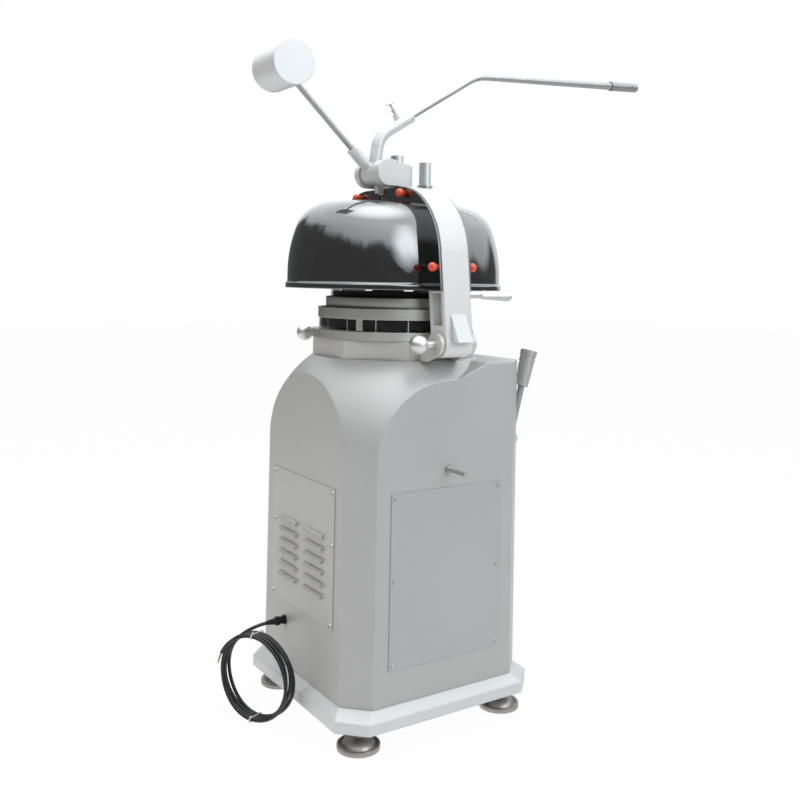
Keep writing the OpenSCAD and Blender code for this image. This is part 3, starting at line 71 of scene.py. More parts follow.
ahead = Vector((math.sin(view_turn) * math.cos(view_rise), -math.cos(view_turn) * math.cos(view_rise),
                math.sin(view_rise)))
level_right = ahead.cross(Vector((0, 0, 1))).normalized()
level_up = level_right.cross(ahead)
picture_right = level_right * math.cos(view_roll) + level_up * math.sin(view_roll)
picture_up = level_up * math.cos(view_roll) - level_right * math.sin(view_roll)
lens = bpy.data.cameras.new("photo_camera")
lens.sensor_width = sensor_width
lens.lens = focal_length
lens.shift_x = shift_right
lens.shift_y = shift_up
lens.clip_end = far_limit
camera = bpy.data.objects.new("photo_camera", lens)
bpy.context.scene.collection.objects.link(camera)
turn = Matrix((picture_right, picture_up, -ahead)).transposed().to_4x4()
camera.matrix_world = Matrix.Translation(camera_place) @ turn
bpy.context.scene.camera = camera
print("camera at", tuple(round(v, 3) for v in camera.location))

# %% [markdown]
# ## Power cord
# The mains lead leaves its gland on the rear face and stands behind the machine in four turns, tied at the
# top and the bottom. It could be a mesh swept along a path, but a curve with a round bevel is easier to
# change and keeps its thickness in every bend. The route repeats the one of the solid: a short straight
# run, an easy bend, then turns side by side that stray a little from a circle and draw together at the
# ties.

# %% Work out the route of the cord
cord_d = 9 * MM
mouth = Vector((91, 296, 222)) * MM
straight_steps = (-8, 0, 6, 12)
lead_from, lead_pull, lead_steps = 18 * MM, 92 * MM, 14
coil_centre = Vector((44, 369, 111.5)) * MM
coil_heading = math.radians(27)
coil_along = Vector((math.cos(coil_heading), math.sin(coil_heading), 0))
coil_out = Vector((-coil_along.y, coil_along.x, 0))
coil_r, coil_pitch, coil_stray, stray_waves = 105 * MM, 9.8 * MM, 5 * MM, 1.7
coil_turns, coil_start, coil_end, coil_step = 4, 45, 1460, 7.5


def coil_point(turned):
    a = math.radians(coil_start - turned)
    reach = coil_r + coil_stray * math.sin(stray_waves * a) * math.cos(a) ** 2
    aside = (turned / 360 - coil_turns / 2) * coil_pitch
    return (coil_centre + coil_out * aside + coil_along * reach * math.cos(a)
            + Vector((0, 0, reach * math.sin(a))))


def lead_point(t):
    start, end = mouth + Vector((0, lead_from, 0)), coil_point(0)
    leave = Vector((0, lead_pull, 0))
    arrive = (coil_along - Vector((0, 0, 1))) * math.sqrt(0.5) * lead_pull
    return (start * (2 * t ** 3 - 3 * t ** 2 + 1) + leave * (t ** 3 - 2 * t ** 2 + t)
            + end * (3 * t ** 2 - 2 * t ** 3) + arrive * (t ** 3 - t ** 2))


route = [mouth + Vector((0, step, 0)) * MM for step in straight_steps]
route += [lead_point(k / lead_steps) for k in range(lead_steps)]
route += [coil_point(coil_step * k) for k in range(int(coil_end / coil_step) + 1)]
route += [coil_point(coil_end)]

# %% Draw the cord
line_roundness = 5


def draw_round_line(name, places, thickness):
    line = bpy.data.curves.new(name, "CURVE")
    line.dimensions = "3D"
    line.bevel_depth = 1.0
    line.bevel_resolution = line_roundness
    line.use_fill_caps = True
    strand = line.splines.new("POLY")
    strand.points.add(len(places) - 1)
    for point, place in zip(strand.points, places):
        point.co = (*place, 1)
        point.radius = thickness / 2
    strand.use_smooth = True
    piece = bpy.data.objects.new(name, line)
    bpy.context.scene.collection.objects.link(piece)
    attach(piece, "base")
    return piece


mains_cord = draw_round_line("mains_cord", route, cord_d)
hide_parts("power_cord")
print("drawn", mains_cord.name)

# %% [markdown]
# ## Bare end
# The lead has no plug: an electrician wires it in. At its end the sheath is cut back and three cores show,
# each with a stripped copper tip. They are round lines like the cord, so they are drawn by the same
# function. They go on along the turn, so that they lie beside the coil and need no support of their own.

# %% Draw the three cores
core_d, tip_d, core_spread = 2.6 * MM, 1.6 * MM, 2 * MM
core_angles = {"brown_core": 90, "blue_core": 210, "earth_core": 330}
core_overlap, core_step, core_places, tip_turns = 1, 1.6, 8, (13.5, 16)
cores, tips = [], []
for name, angle in core_angles.items():
    a = math.radians(angle)
    offset = coil_out * (core_spread * math.cos(a)) + Vector((0, 0, core_spread * math.sin(a)))
    core_route = [coil_point(coil_end - core_overlap + core_step * k) + offset for k in range(core_places)]
    tip_route = core_route[-1:] + [coil_point(coil_end + turned) + offset for turned in tip_turns]
    cores.append(draw_round_line(name, core_route, core_d))
    tips.append(draw_round_line(name.replace("core", "tip"), tip_route, tip_d))
print("cores", [core.name for core in cores], "tips", [tip.name for tip in tips])

# %% [markdown]
# ## Modelling helpers
# Each new mesh starts from a primitive and is shaped in edit mode. A few helpers keep the cells short. One
# selects vertices, edges or faces by where they are. One turns a piece by extruding and scaling its last
# ring, which is how a lathe would cut it. One copies a finished piece, with a mesh of its own, to another
# place.

# %% Helpers for edit mode


def start_piece(add, name, **how):
    bpy.ops.object.select_all(action="DESELECT")
    add(**how)
    piece = bpy.context.object
    piece.name = piece.data.name = name
    bpy.ops.object.mode_set(mode="EDIT")
    return piece


def select(kind, wanted):
    bpy.ops.mesh.select_mode(type=kind)
    bpy.ops.mesh.select_all(action="DESELECT")
    mesh = bmesh.from_edit_mesh(bpy.context.object.data)
    group = {"VERT": mesh.verts, "EDGE": mesh.edges, "FACE": mesh.faces}[kind]
    for part in group:
        corners = [part] if kind == "VERT" else list(part.verts)
        middle = sum((corner.co for corner in corners), Vector((0, 0, 0))) / len(corners)
        if wanted(middle):
            part.select_set(True)
    bmesh.update_edit_mesh(bpy.context.object.data)


def extrude(kind, move):
    operator = {"EDGE": bpy.ops.mesh.extrude_edges_move, "FACE": bpy.ops.mesh.extrude_region_move}[kind]
    operator(TRANSFORM_OT_translate={"value": move})


def put(move, tilt=0.0):
    bpy.ops.mesh.select_all(action="SELECT")
    if tilt:
        bpy.ops.transform.rotate(value=tilt, orient_axis="X", center_override=(0, 0, 0))
    bpy.ops.transform.translate(value=move)


def smooth(angle):
    bpy.ops.object.shade_smooth_by_angle(angle=math.radians(angle))


def leave_edit(smooth_angle=0):
    bpy.ops.mesh.select_all(action="SELECT")
    bpy.ops.mesh.normals_make_consistent(inside=False)
    bpy.ops.object.mode_set(mode="OBJECT")
    if smooth_angle:
        smooth(smooth_angle)


# %% Helpers for whole pieces


def apply_modifier(piece, kind, **values):
    change = piece.modifiers.new(kind.lower(), kind)
    for key, value in values.items():
        setattr(change, key, value)
    bpy.ops.object.modifier_apply(modifier=change.name)


def turned_piece(name, profile, sides):
    (r, z), rest = profile[0], profile[1:]
    piece = start_piece(bpy.ops.mesh.primitive_circle_add, name, vertices=sides, radius=r * MM,
                        fill_type="NGON", location=(0, 0, z * MM))
    bpy.ops.object.mode_set(mode="OBJECT")
    bpy.ops.object.transform_apply(location=True)
    bpy.ops.object.mode_set(mode="EDIT")
    bpy.ops.mesh.select_all(action="SELECT")
    for next_r, next_z in rest:
        extrude("FACE", (0, 0, (next_z - z) * MM))
        share = next_r / r
        bpy.ops.transform.resize(value=(share, share, 1), center_override=(0, 0, next_z * MM))
        r, z = next_r, next_z
    return piece


def copy_piece(piece, name, move):
    twin = piece.copy()
    twin.data = piece.data.copy()
    twin.name = twin.data.name = name
    twin.data.transform(Matrix.Translation(move))
    bpy.context.scene.collection.objects.link(twin)
    return twin


def ends(piece):
    low = [round(min(v.co[i] for v in piece.data.vertices), 4) for i in range(3)]
    high = [round(max(v.co[i] for v in piece.data.vertices), 4) for i in range(3)]
    return low, high


# %% [markdown]
# ## Strain relief
# A soft boot on the gland keeps the lead from kinking. On the real machine it is moulded rubber with ribs
# that get smaller towards the free end. It could be a stack of rings, but a turned piece is one closed
# skin: each rib is two steps of the profile and each groove two more. The profile is in millimetres, as
# radius and height.

# %% Turn the boot
boot_sides, boot_ribs, boot_sink, boot_reach = 40, 5, 1.2 * MM, 20 * MM
first_rib, rib_pitch, rib_width, groove_from, groove_to = 2.4, 4.3, 2.7, 3.0, 4.1
rib_r, rib_taper, rib_swell, rib_depth = 8.2, 0.56, 0.1, 1.1
boot_profile = [(4.8, 0), (8.6, 0), (8.8, 1)]
for rib in range(boot_ribs):
    r, z = rib_r - rib_taper * rib, first_rib + rib_pitch * rib
    boot_profile += [(r, z), (r + rib_swell, z + rib_width), (r - rib_depth, z + groove_from),
                     (r - rib_depth, z + groove_to)]
boot_profile += [(5.6, 24.6), (5.1, 25.2), (4.75, 25.2), (4.7, 24.2)]
strain_boot = turned_piece("strain_boot", boot_profile, boot_sides)
put(mouth + Vector((0, -boot_sink, 0)), math.pi / 2)
leave_edit(smooth_angle=35)
if ends(strain_boot)[1][1] < mouth.y + boot_reach:
    raise SystemExit("the boot points into the wall")
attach(strain_boot, "base")
print("boot", ends(strain_boot))

# %% [markdown]
# ## Cable ties
# Two white ties hold the turns. A tie is a thin band drawn round the bundle and through a small head, with
# the tail cut off just behind it. The band could be a bent strip, but a plane of the bundle's section gives
# its path at once: its corners are rounded, its face goes, and its outline is extruded to the width of the
# band and given a thickness inwards, so that it grips the turns. The upper tie is modelled, and the lower
# one is a copy.

# %% Make the band of a tie
tie_wide, tie_high, tie_corner = 49.2 * MM, 10.0 * MM, 4.2 * MM
band_width, band_thick, band_edge = 3.4 * MM, 1.2 * MM, 0.25 * MM
upper_tie = start_piece(bpy.ops.mesh.primitive_plane_add, "upper_tie", size=1)
bpy.ops.transform.resize(value=(tie_wide, tie_high, 1))
bpy.ops.mesh.bevel(offset=tie_corner, segments=6, affect="VERTICES")
bpy.ops.mesh.delete(type="ONLY_FACE")
select("EDGE", lambda middle: True)
extrude("EDGE", (0, 0, band_width))
bpy.ops.object.mode_set(mode="OBJECT")
apply_modifier(upper_tie, "SOLIDIFY", thickness=band_thick, offset=1.0)
apply_modifier(upper_tie, "BEVEL", width=band_edge, segments=2, limit_method="ANGLE")
print("band", ends(upper_tie))

# %% Add its head and the stub of its tail
head_long, head_high, head_wide, head_edge = 5.6 * MM, 3.6 * MM, 5.4 * MM, 0.6 * MM
head_from_end, head_lift = 9 * MM, 2.2 * MM
head_x, head_y = tie_wide / 2 - head_from_end, tie_high / 2 + head_lift
tail_inset, tail_long, face_slack = 0.7 * MM, 2.4 * MM, 0.2 * MM
start_piece(bpy.ops.mesh.primitive_cube_add, "tie_head", size=1)
bpy.ops.transform.resize(value=(head_long, head_high, head_wide))
bpy.ops.transform.translate(value=(head_x, head_y, band_width / 2))
bpy.ops.mesh.bevel(offset=head_edge, segments=2, affect="EDGES")
select("FACE", lambda middle: middle.x > head_x + head_long / 2 - face_slack)
bpy.ops.mesh.inset(thickness=tail_inset)
extrude("FACE", (tail_long, 0, 0))
bpy.ops.object.mode_set(mode="OBJECT")
upper_tie.select_set(True)
bpy.context.view_layer.objects.active = upper_tie
bpy.ops.object.join()
print("tie with head", ends(upper_tie))

# %% Stand the tie on the coil and copy it
tie_place = coil_centre + Vector((0, 0, coil_r)) - coil_along * (band_width / 2)
tie_turn = Matrix((coil_out, coil_along.cross(coil_out), coil_along)).transposed().to_4x4()
upper_tie.matrix_world = Matrix.Translation(tie_place) @ tie_turn
bpy.ops.object.transform_apply(location=True, rotation=True, scale=True)
smooth(angle=35)
ties = [upper_tie, copy_piece(upper_tie, "lower_tie", (0, 0, -2 * coil_r))]
for tie in ties:
    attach(tie, "base")
    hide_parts("cord_ties")
    print(tie.name, ends(tie))

# %% [markdown]
# ## Hems of the covers
# The covers are drawn plastic with a flared, rolled hem, which stiffens the rim and catches a bright line
# of light. A bevelled curve would only give a round bead, so the hem is one section swept along the rim:
# straight, half round, straight. The section starts as a plane. Its top outer corner drops to make the
# flare, a cut in the sloping edge is pulled in to make that hollow, and the corners are rounded. Then it is
# extruded, spun through half a turn and extruded again.

# %% Sweep a hem
cover_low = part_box("rear_cover")[0]
flange_y, rim_z = cover_low[1], cover_low[2]
cover_axis, cover_r = 70 * MM, 232 * MM
hem_overlap, hem_flare, hem_tall, hem_lip = 1 * MM, 4.6 * MM, 24 * MM, 13 * MM
hem_inner, hem_outer = cover_r - hem_overlap, cover_r + hem_flare
hollow_in, hollow_down, hollow_round, lip_round = 1.4 * MM, 2.6 * MM, 3.6 * MM, 2.2 * MM
near, touching, hem_steps = 1 * MM, 0.1 * MM, 64


def cover_hem(name, side):
    straight = side * (cover_axis - flange_y)
    hem = start_piece(bpy.ops.mesh.primitive_plane_add, name, size=1)
    bpy.ops.transform.rotate(value=math.pi / 2, orient_axis="X", center_override=(0, 0, 0))
    bpy.ops.transform.resize(value=(hem_outer - hem_inner, 1, hem_tall))
    bpy.ops.transform.translate(value=((hem_inner + hem_outer) / 2, side * flange_y, rim_z + hem_tall / 2))
    select("VERT", lambda p: p.x > hem_inner + near and p.z > rim_z + near)
    bpy.ops.transform.translate(value=(0, 0, hem_lip - hem_tall))
    select("EDGE", lambda p: p.x > hem_inner + near and p.z > rim_z + hem_lip + near)
    bpy.ops.mesh.subdivide(number_cuts=1)
    select("VERT", lambda p: hem_inner + near < p.x < hem_outer - near)
    bpy.ops.transform.translate(value=(-hollow_in, 0, -hollow_down))
    bpy.ops.mesh.bevel(offset=hollow_round, segments=5, affect="VERTICES")
    select("VERT", lambda p: p.x > hem_outer - touching)
    bpy.ops.mesh.bevel(offset=lip_round, segments=4, affect="VERTICES")
    select("FACE", lambda p: True)
    extrude("FACE", (0, straight, 0))
    bpy.ops.mesh.spin(steps=hem_steps, angle=-side * math.pi, center=(0, side * cover_axis, rim_z),
                      axis=(0, 0, 1))
    extrude("FACE", (0, -straight, 0))
    leave_edit(smooth_angle=50)
    if max(side * corner[1] for corner in ends(hem)) < cover_axis + cover_r:
        raise SystemExit("the hem went round the wrong side")
    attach(hem, "gantry")
    return hem


hems = [cover_hem("rear_hem", 1), cover_hem("front_hem", -1)]
for hem in hems:
    print(hem.name, ends(hem), len(hem.data.polygons), "faces")

# %% [markdown]
# ## Skirt of the press plate
# A turned ring stands round the press plate and hides its screw heads from the side. It has one section all
# the way up, so it needs no profile: it is a circle of that size, extruded upwards and given a thickness,
# and its corners are broken as a turner would.

# %% Turn the skirt
plate_low, plate_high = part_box("press_plate")
skirt_outside, skirt_lift, skirt_sides = 2.4 * MM, 2 * MM, 128
skirt_r, skirt_z = plate_high[0] + skirt_outside, plate_low[2] + skirt_lift
skirt_tall, skirt_thick, skirt_edge = 26 * MM, 4.4 * MM, 0.9 * MM
press_skirt = start_piece(bpy.ops.mesh.primitive_circle_add, "press_skirt", vertices=skirt_sides,
                          radius=skirt_r, fill_type="NOTHING")
bpy.ops.transform.translate(value=(0, 0, skirt_z))
extrude("EDGE", (0, 0, skirt_tall))
leave_edit()
apply_modifier(press_skirt, "SOLIDIFY", thickness=skirt_thick, offset=-1.0)
apply_modifier(press_skirt, "BEVEL", width=skirt_edge, segments=3, limit_method="ANGLE")
smooth(angle=35)
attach(press_skirt, "press_head")
print("skirt", ends(press_skirt))

# %% [markdown]
# ## Levelling feet
# Each foot is a pressed plate with a raised rim, a groove and a dome, and a stud that goes up into the
# plinth. All of it is round, so it is turned from one profile, in millimetres as radius and height. It is
# turned once, at the left rear corner, and copied to the other three, each copy with its own mesh.

# %% Turn the feet
foot_r, foot_sides = 53, 64
foot_profile = [
    (50.5, 0), (52.6, 0.8), (foot_r, 2.4), (foot_r, 11), (52.3, 12.4), (50.8, 13), (46.6, 13), (45.4, 12.2),
    (44.6, 10), (43.4, 9.6), (41.6, 10.4), (40, 13.4), (37.4, 17.2), (33.4, 20.8), (28.2, 23.8), (22.2, 26),
    (16, 27.4), (11.4, 28), (10, 29.4), (10, 112),
]
feet_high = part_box("levelling_feet")[1]
foot_x, foot_y = feet_high[0] - foot_r * MM, feet_high[1] - foot_r * MM
first_foot = turned_piece("left_rear_foot", foot_profile, foot_sides)
put((-foot_x, foot_y, 0))
leave_edit(smooth_angle=30)
feet = [
    first_foot,
    copy_piece(first_foot, "right_rear_foot", (2 * foot_x, 0, 0)),
    copy_piece(first_foot, "left_front_foot", (0, -2 * foot_y, 0)),
    copy_piece(first_foot, "right_front_foot", (2 * foot_x, -2 * foot_y, 0)),
]
for foot in feet:
    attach(foot, "base")
    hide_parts("levelling_feet")
    print(foot.name, ends(foot))

# %% [markdown]
# ## Finishes
# Every finish is a small node tree on Object coordinates, so it stays put on its piece. Each starts from
# the same shader. A Bevel node rounds the edges to the eye, as paint and tumbling do, and the difference
# between the rounded and the true normal tells where an edge is, so that paint can be a little brighter
# there. Corners get a painted shade, tinted like dust, where an occlusion node finds other surfaces close.
# One helper adds a node and fills its sockets: a socket is linked, and a plain value is written on the
# socket itself.

# %% Helpers for nodes


def feed(tree, node, inputs):
    for key, value in inputs.items():
        if isinstance(value, bpy.types.NodeSocket):
            tree.links.new(value, node.inputs[key])
        else:
            node.inputs[key].default_value = value


def add_node(tree, kind, inputs, **settings):
    node = tree.nodes.new("ShaderNode" + kind)
    for key, value in settings.items():
        setattr(node, key, value)
    feed(tree, node, inputs)
    return node


def add_span(tree, value, source=(0.0, 1.0), target=(0.0, 1.0), way="LINEAR"):
    span = add_node(tree, "MapRange", {"Value": value, "From Min": source[0], "From Max": source[1],
                                       "To Min": target[0], "To Max": target[1]}, interpolation_type=way)
    return span.outputs["Result"]


# %% Helpers for finishes
Finish = namedtuple("Finish", "material tree shader place soft")
# The painted corner shade, tinted like dust, comes from an occlusion node with these samples and ramp stops.
bevel_samples, shade_and_dust_samples = 6, 4
edge_span, shade_and_dust_stops, brightest = (0.985, 0.88), (0.30, 0.85), 0.95
mix_share, mix_first, mix_second, mix_colour = 0, 6, 7, 2


def start_finish(name, colour, metallic, roughness, edge=0.0):
    material = bpy.data.materials.new(name)
    material.use_nodes = True
    tree = material.node_tree
    shader = tree.nodes["Principled BSDF"]
    feed(tree, shader, {"Base Color": (*colour, 1), "Metallic": metallic, "Roughness": roughness})
    place = add_node(tree, "TexCoord", {}).outputs["Object"]
    soft = None
    if edge:
        soft = add_node(tree, "Bevel", {"Radius": edge}, samples=bevel_samples).outputs["Normal"]
        feed(tree, shader, {"Normal": soft})
    return Finish(material, tree, shader, place, soft)


def add_noise(finish, scale, detail, stretch=(1, 1, 1), place=None):
    mapping = add_node(finish.tree, "Mapping", {"Scale": stretch, "Vector": place or finish.place})
    noise = add_node(finish.tree, "TexNoise", {"Scale": scale, "Detail": detail,
                                               "Vector": mapping.outputs["Vector"]})
    return noise.outputs["Fac"]


def add_ramp(finish, value, low, high, stops=(0.35, 0.65)):
    ramp = add_node(finish.tree, "ValToRGB", {"Fac": value})
    for element, stop, tone in zip(ramp.color_ramp.elements, stops, (low, high)):
        element.position = stop
        element.color = (*tone, 1) if isinstance(tone, tuple) else (tone, tone, tone, 1)
    return ramp.outputs["Color"]


def add_bump(finish, value, strength, distance):
    bump = add_node(finish.tree, "Bump", {"Strength": strength, "Distance": distance, "Height": value})
    if finish.soft:
        feed(finish.tree, bump, {"Normal": finish.soft})
    feed(finish.tree, finish.shader, {"Normal": bump.outputs["Normal"]})


def blend_colours(finish, share, first, second):
    mix = add_node(finish.tree, "Mix", {mix_share: share}, data_type="RGBA")
    feed(finish.tree, mix, {mix_first: first, mix_second: (*second, 1)})
    return mix.outputs[mix_colour]


def edge_share(finish):
    true_normal = add_node(finish.tree, "NewGeometry", {}).outputs["Normal"]
    likeness = add_node(finish.tree, "VectorMath", {0: finish.soft, 1: true_normal},
                        operation="DOT_PRODUCT")
    return add_span(finish.tree, likeness.outputs["Value"], edge_span)


def vary_roughness(finish, noise, roughness, spread):
    return add_ramp(finish, noise, roughness + spread[0], roughness + spread[1])


# Painted shade: a share that is 1 where the occlusion node finds other surfaces close, as in corners and
# recesses.
def shade_and_dust_share(finish, reach):
    shade = add_node(finish.tree, "AmbientOcclusion", {"Distance": reach}, samples=shade_and_dust_samples)
    return add_ramp(finish, shade.outputs["AO"], 1.0, 0.0, shade_and_dust_stops)


def toned(colour, share):
    return tuple(min(brightest, c * share) for c in colour)


finishes = {}

# %% [markdown]
# Silver paint: the flakes are far finer than a millimetre, and the coat is a little cloudy over tens of
# centimetres, as sprayed sheet is. It is worn a little brighter on edges, and corners get a painted shade
# tinted like dust. A plain metallic shader would mirror the lamps too strongly, so the paint is only partly
# metal, under a thin coat.

# %% Silver paints
clouds, flakes, paint_skin = (3.5, 3), (900, 2), (240, 3)
flake_spread, paint_worn_share = (-0.04, 0.06), 1.12
# How far the painted corner shade reaches, and its dust-like warm tint.
shade_and_dust_reach, shade_and_dust_tint = 30 * MM, (1.0, 0.97, 0.90)
coat_weight, coat_roughness, paint_skin_strength, paint_skin_depth = 0.12, 0.25, 0.05, 0.5 * MM


def silver_paint(name, colour, metallic, roughness, cloud, edge, dust_and_shade=0.70):
    paint = start_finish(name, colour, metallic, roughness, edge)
    coat = add_ramp(paint, add_noise(paint, *clouds), toned(colour, 1 - cloud), colour)
    worn = blend_colours(paint, edge_share(paint), coat, toned(colour, paint_worn_share))
    # Painted shade, tinted like dust: where the occlusion node finds a corner, the paint darkens towards
    # this colour.
    shade_and_dust_colour = tuple(c * dust_and_shade * tint for c, tint in zip(colour, shade_and_dust_tint))
    dusty_and_shaded = blend_colours(paint, shade_and_dust_share(paint, shade_and_dust_reach), worn, shade_and_dust_colour)
    sparkle = vary_roughness(paint, add_noise(paint, *flakes), roughness, flake_spread)
    feed(paint.tree, paint.shader, {"Base Color": dusty_and_shaded, "Roughness": sparkle,
                                    "Coat Weight": coat_weight, "Coat Roughness": coat_roughness})
    add_bump(paint, add_noise(paint, *paint_skin), paint_skin_strength, paint_skin_depth)
    return paint.material


# colour, share of metal, roughness, cloudiness, width of a soft edge and, for the louvres, a lighter
# painted shade in corners, tinted like dust
paints = {
    "cabinet_paint": ((0.53, 0.535, 0.53), 0.28, 0.48, 0.05, 7 * MM),
    "neck_paint": ((0.66, 0.655, 0.64), 0.35, 0.45, 0.06, 5 * MM),
    "panel_paint": ((0.50, 0.51, 0.525), 0.28, 0.46, 0.04, 1.5 * MM),
    "louvre_paint": ((0.54, 0.54, 0.53), 0.28, 0.46, 0.04, 3 * MM, 0.95),
    "plinth_paint": ((0.76, 0.775, 0.79), 0.15, 0.40, 0.04, 8 * MM),
    "casting_paint": ((0.81, 0.82, 0.825), 0.10, 0.40, 0.04, 5 * MM),
    "weight_paint": ((0.76, 0.775, 0.79), 0.15, 0.36, 0.04, 3 * MM),
    "hub_paint": ((0.75, 0.765, 0.77), 0.18, 0.38, 0.05, 3 * MM),
}
finishes.update({name: silver_paint(name, *values) for name, values in paints.items()})
print("paints", list(paints))

# %% [markdown]
# Metals. Turned rings show fine circles about the machine's axis, so their grain runs on the distance from
# that axis and on the height. Ground bars only show a fine haze, which makes their highlight soft along its
# edges. Both have faint stains, because clean metal looks like a mirror or a grey plastic.

# %% Bright metals
turned_lines, turned_stains, ground_haze, ground_stains = (700, 3), (14, 4), (160, 3), (18, 4)
line_spread, haze_spread = (-0.06, 0.08), (-0.04, 0.06)
turned_stain_share, ground_stain_share, metal_worn_share = 0.88, 0.92, 1.25
line_strength, line_depth = 0.06, 0.3 * MM


def turned_metal(name, colour, roughness, edge):
    metal = start_finish(name, colour, 1.0, roughness, edge)
    flat = add_node(metal.tree, "VectorMath", {0: metal.place, 1: (1, 1, 0)}, operation="MULTIPLY")
    reach = add_node(metal.tree, "VectorMath", {0: flat.outputs["Vector"]}, operation="LENGTH")
    split = add_node(metal.tree, "SeparateXYZ", {"Vector": metal.place})
    join = add_node(metal.tree, "CombineXYZ", {"X": reach.outputs["Value"], "Z": split.outputs["Z"]})
    lines = add_noise(metal, *turned_lines, place=join.outputs["Vector"])
    stains = add_ramp(metal, add_noise(metal, *turned_stains), toned(colour, turned_stain_share), colour)
    worn = blend_colours(metal, edge_share(metal), stains, toned(colour, metal_worn_share))
    grain = vary_roughness(metal, lines, roughness, line_spread)
    feed(metal.tree, metal.shader, {"Base Color": worn, "Roughness": grain})
    add_bump(metal, lines, line_strength, line_depth)
    return metal.material


def ground_metal(name, colour, roughness):
    metal = start_finish(name, colour, 1.0, roughness)
    haze = vary_roughness(metal, add_noise(metal, *ground_haze), roughness, haze_spread)
    stains = add_ramp(metal, add_noise(metal, *ground_stains), toned(colour, ground_stain_share), colour)
    feed(metal.tree, metal.shader, {"Base Color": stains, "Roughness": haze})
    return metal.material


# colour, roughness and width of a soft edge
turned_metals = {
    "turned_aluminium": ((0.70, 0.695, 0.655), 0.42, 1 * MM),
    "foot_steel": ((0.41, 0.385, 0.37), 0.42, 0.8 * MM),
}
# colour and roughness
ground_metals = {
    "cast_aluminium": ((0.55, 0.55, 0.54), 0.46),
    "guide_steel": ((0.62, 0.63, 0.63), 0.46),
    "bar_steel": ((0.40, 0.41, 0.41), 0.50),
    "handle_steel": ((0.34, 0.35, 0.35), 0.48),
    "blade_steel": ((0.86, 0.86, 0.86), 0.50),
    "plated_steel": ((0.55, 0.545, 0.53), 0.36),
    "screw_steel": ((0.36, 0.36, 0.36), 0.30),
    "satin_steel": ((0.80, 0.80, 0.79), 0.44),
    "polished_chrome": ((0.80, 0.80, 0.80), 0.32),
    "bare_copper": ((0.72, 0.38, 0.22), 0.30),
}
finishes.update({name: turned_metal(name, *values) for name, values in turned_metals.items()})
finishes.update({name: ground_metal(name, *values) for name, values in ground_metals.items()})
print("metals", list(turned_metals), list(ground_metals))

# %% [markdown]
# Plastics and rubber. Moulded plastic has a very fine skin and a trace of dust; drawn covers are slightly
# wavy, which shows in their reflections; rubber is dull. The covers get their gloss from a clear coat that
# bends light strongly, over a black that hardly shines itself, so that they stay black where nothing bright
# is mirrored.

# %% Plastics
plastic_dust, dust_marks, rubbed_spots, rubbed_spread = (45, 5), (0.45, 0.85), (30, 4), (0.0, 0.05)
sheet_waves, wave_depth, coat_polish = (7, 1), 4 * MM, 0.02
plastic_skin, plastic_skin_strength, plastic_skin_depth = (400, 2), 0.03, 0.3 * MM


def moulded(name, colour, roughness, dust_and_shade, coat=0.0, coat_bend=1.5, shine=0.5, wave=0.0, edge=0.8 * MM):
    skin = start_finish(name, colour, 0.0, roughness, edge)
    pale = tuple(min(1, c + dust_and_shade) for c in colour)
    dusty_and_shaded = add_ramp(skin, add_noise(skin, *plastic_dust), colour, pale, dust_marks)
    rubbed = vary_roughness(skin, add_noise(skin, *rubbed_spots), roughness, rubbed_spread)
    feed(skin.tree, skin.shader, {"Base Color": dusty_and_shaded, "Roughness": rubbed, "Specular IOR Level": shine,
                                  "Coat Weight": coat, "Coat Roughness": coat_polish, "Coat IOR": coat_bend})
    if wave:
        add_bump(skin, add_noise(skin, *sheet_waves), wave, wave_depth)
    else:
        add_bump(skin, add_noise(skin, *plastic_skin), plastic_skin_strength, plastic_skin_depth)
    return skin.material


cover_gloss = {"coat": 1.0, "coat_bend": 2.5, "shine": 0.05, "wave": 0.10, "edge": 1.5 * MM}
# colour, roughness, dust, and what differs from plain plastic
plastics = {
    "cover_black": ((0.010, 0.009, 0.009), 0.10, 0.006, cover_gloss),
    "dull_black": ((0.012, 0.012, 0.013), 0.42, 0.012, {"shine": 0.2}),
    "knob_red": ((0.80, 0.075, 0.025), 0.22, 0.01, {"coat": 0.3}),
    "button_green": ((0.03, 0.30, 0.08), 0.25, 0.01, {"coat": 0.3}),
    "white_plastic": ((0.80, 0.80, 0.78), 0.4, 0.02, {}),
    "cord_rubber": ((0.012, 0.012, 0.013), 0.36, 0.008, {}),
    "iron_paint": ((0.12, 0.13, 0.15), 0.5, 0.02, {}),
    "brown_skin": ((0.16, 0.06, 0.025), 0.4, 0.02, {}),
    "blue_skin": ((0.03, 0.12, 0.42), 0.4, 0.02, {}),
    "earth_skin": ((0.20, 0.34, 0.03), 0.4, 0.05, {}),
}
finishes.update({name: moulded(name, *values, **more) for name, (*values, more) in plastics.items()})
print("plastics", list(plastics))

# %% [markdown]
# ## Dressing
# Each solid has a slot in the record that says what it is made of, and a first table gives every slot its
# finish. A second table holds the solids that look different from the rest of their slot, such as the paler
# plinth. The new pieces come last, in groups that share a finish.

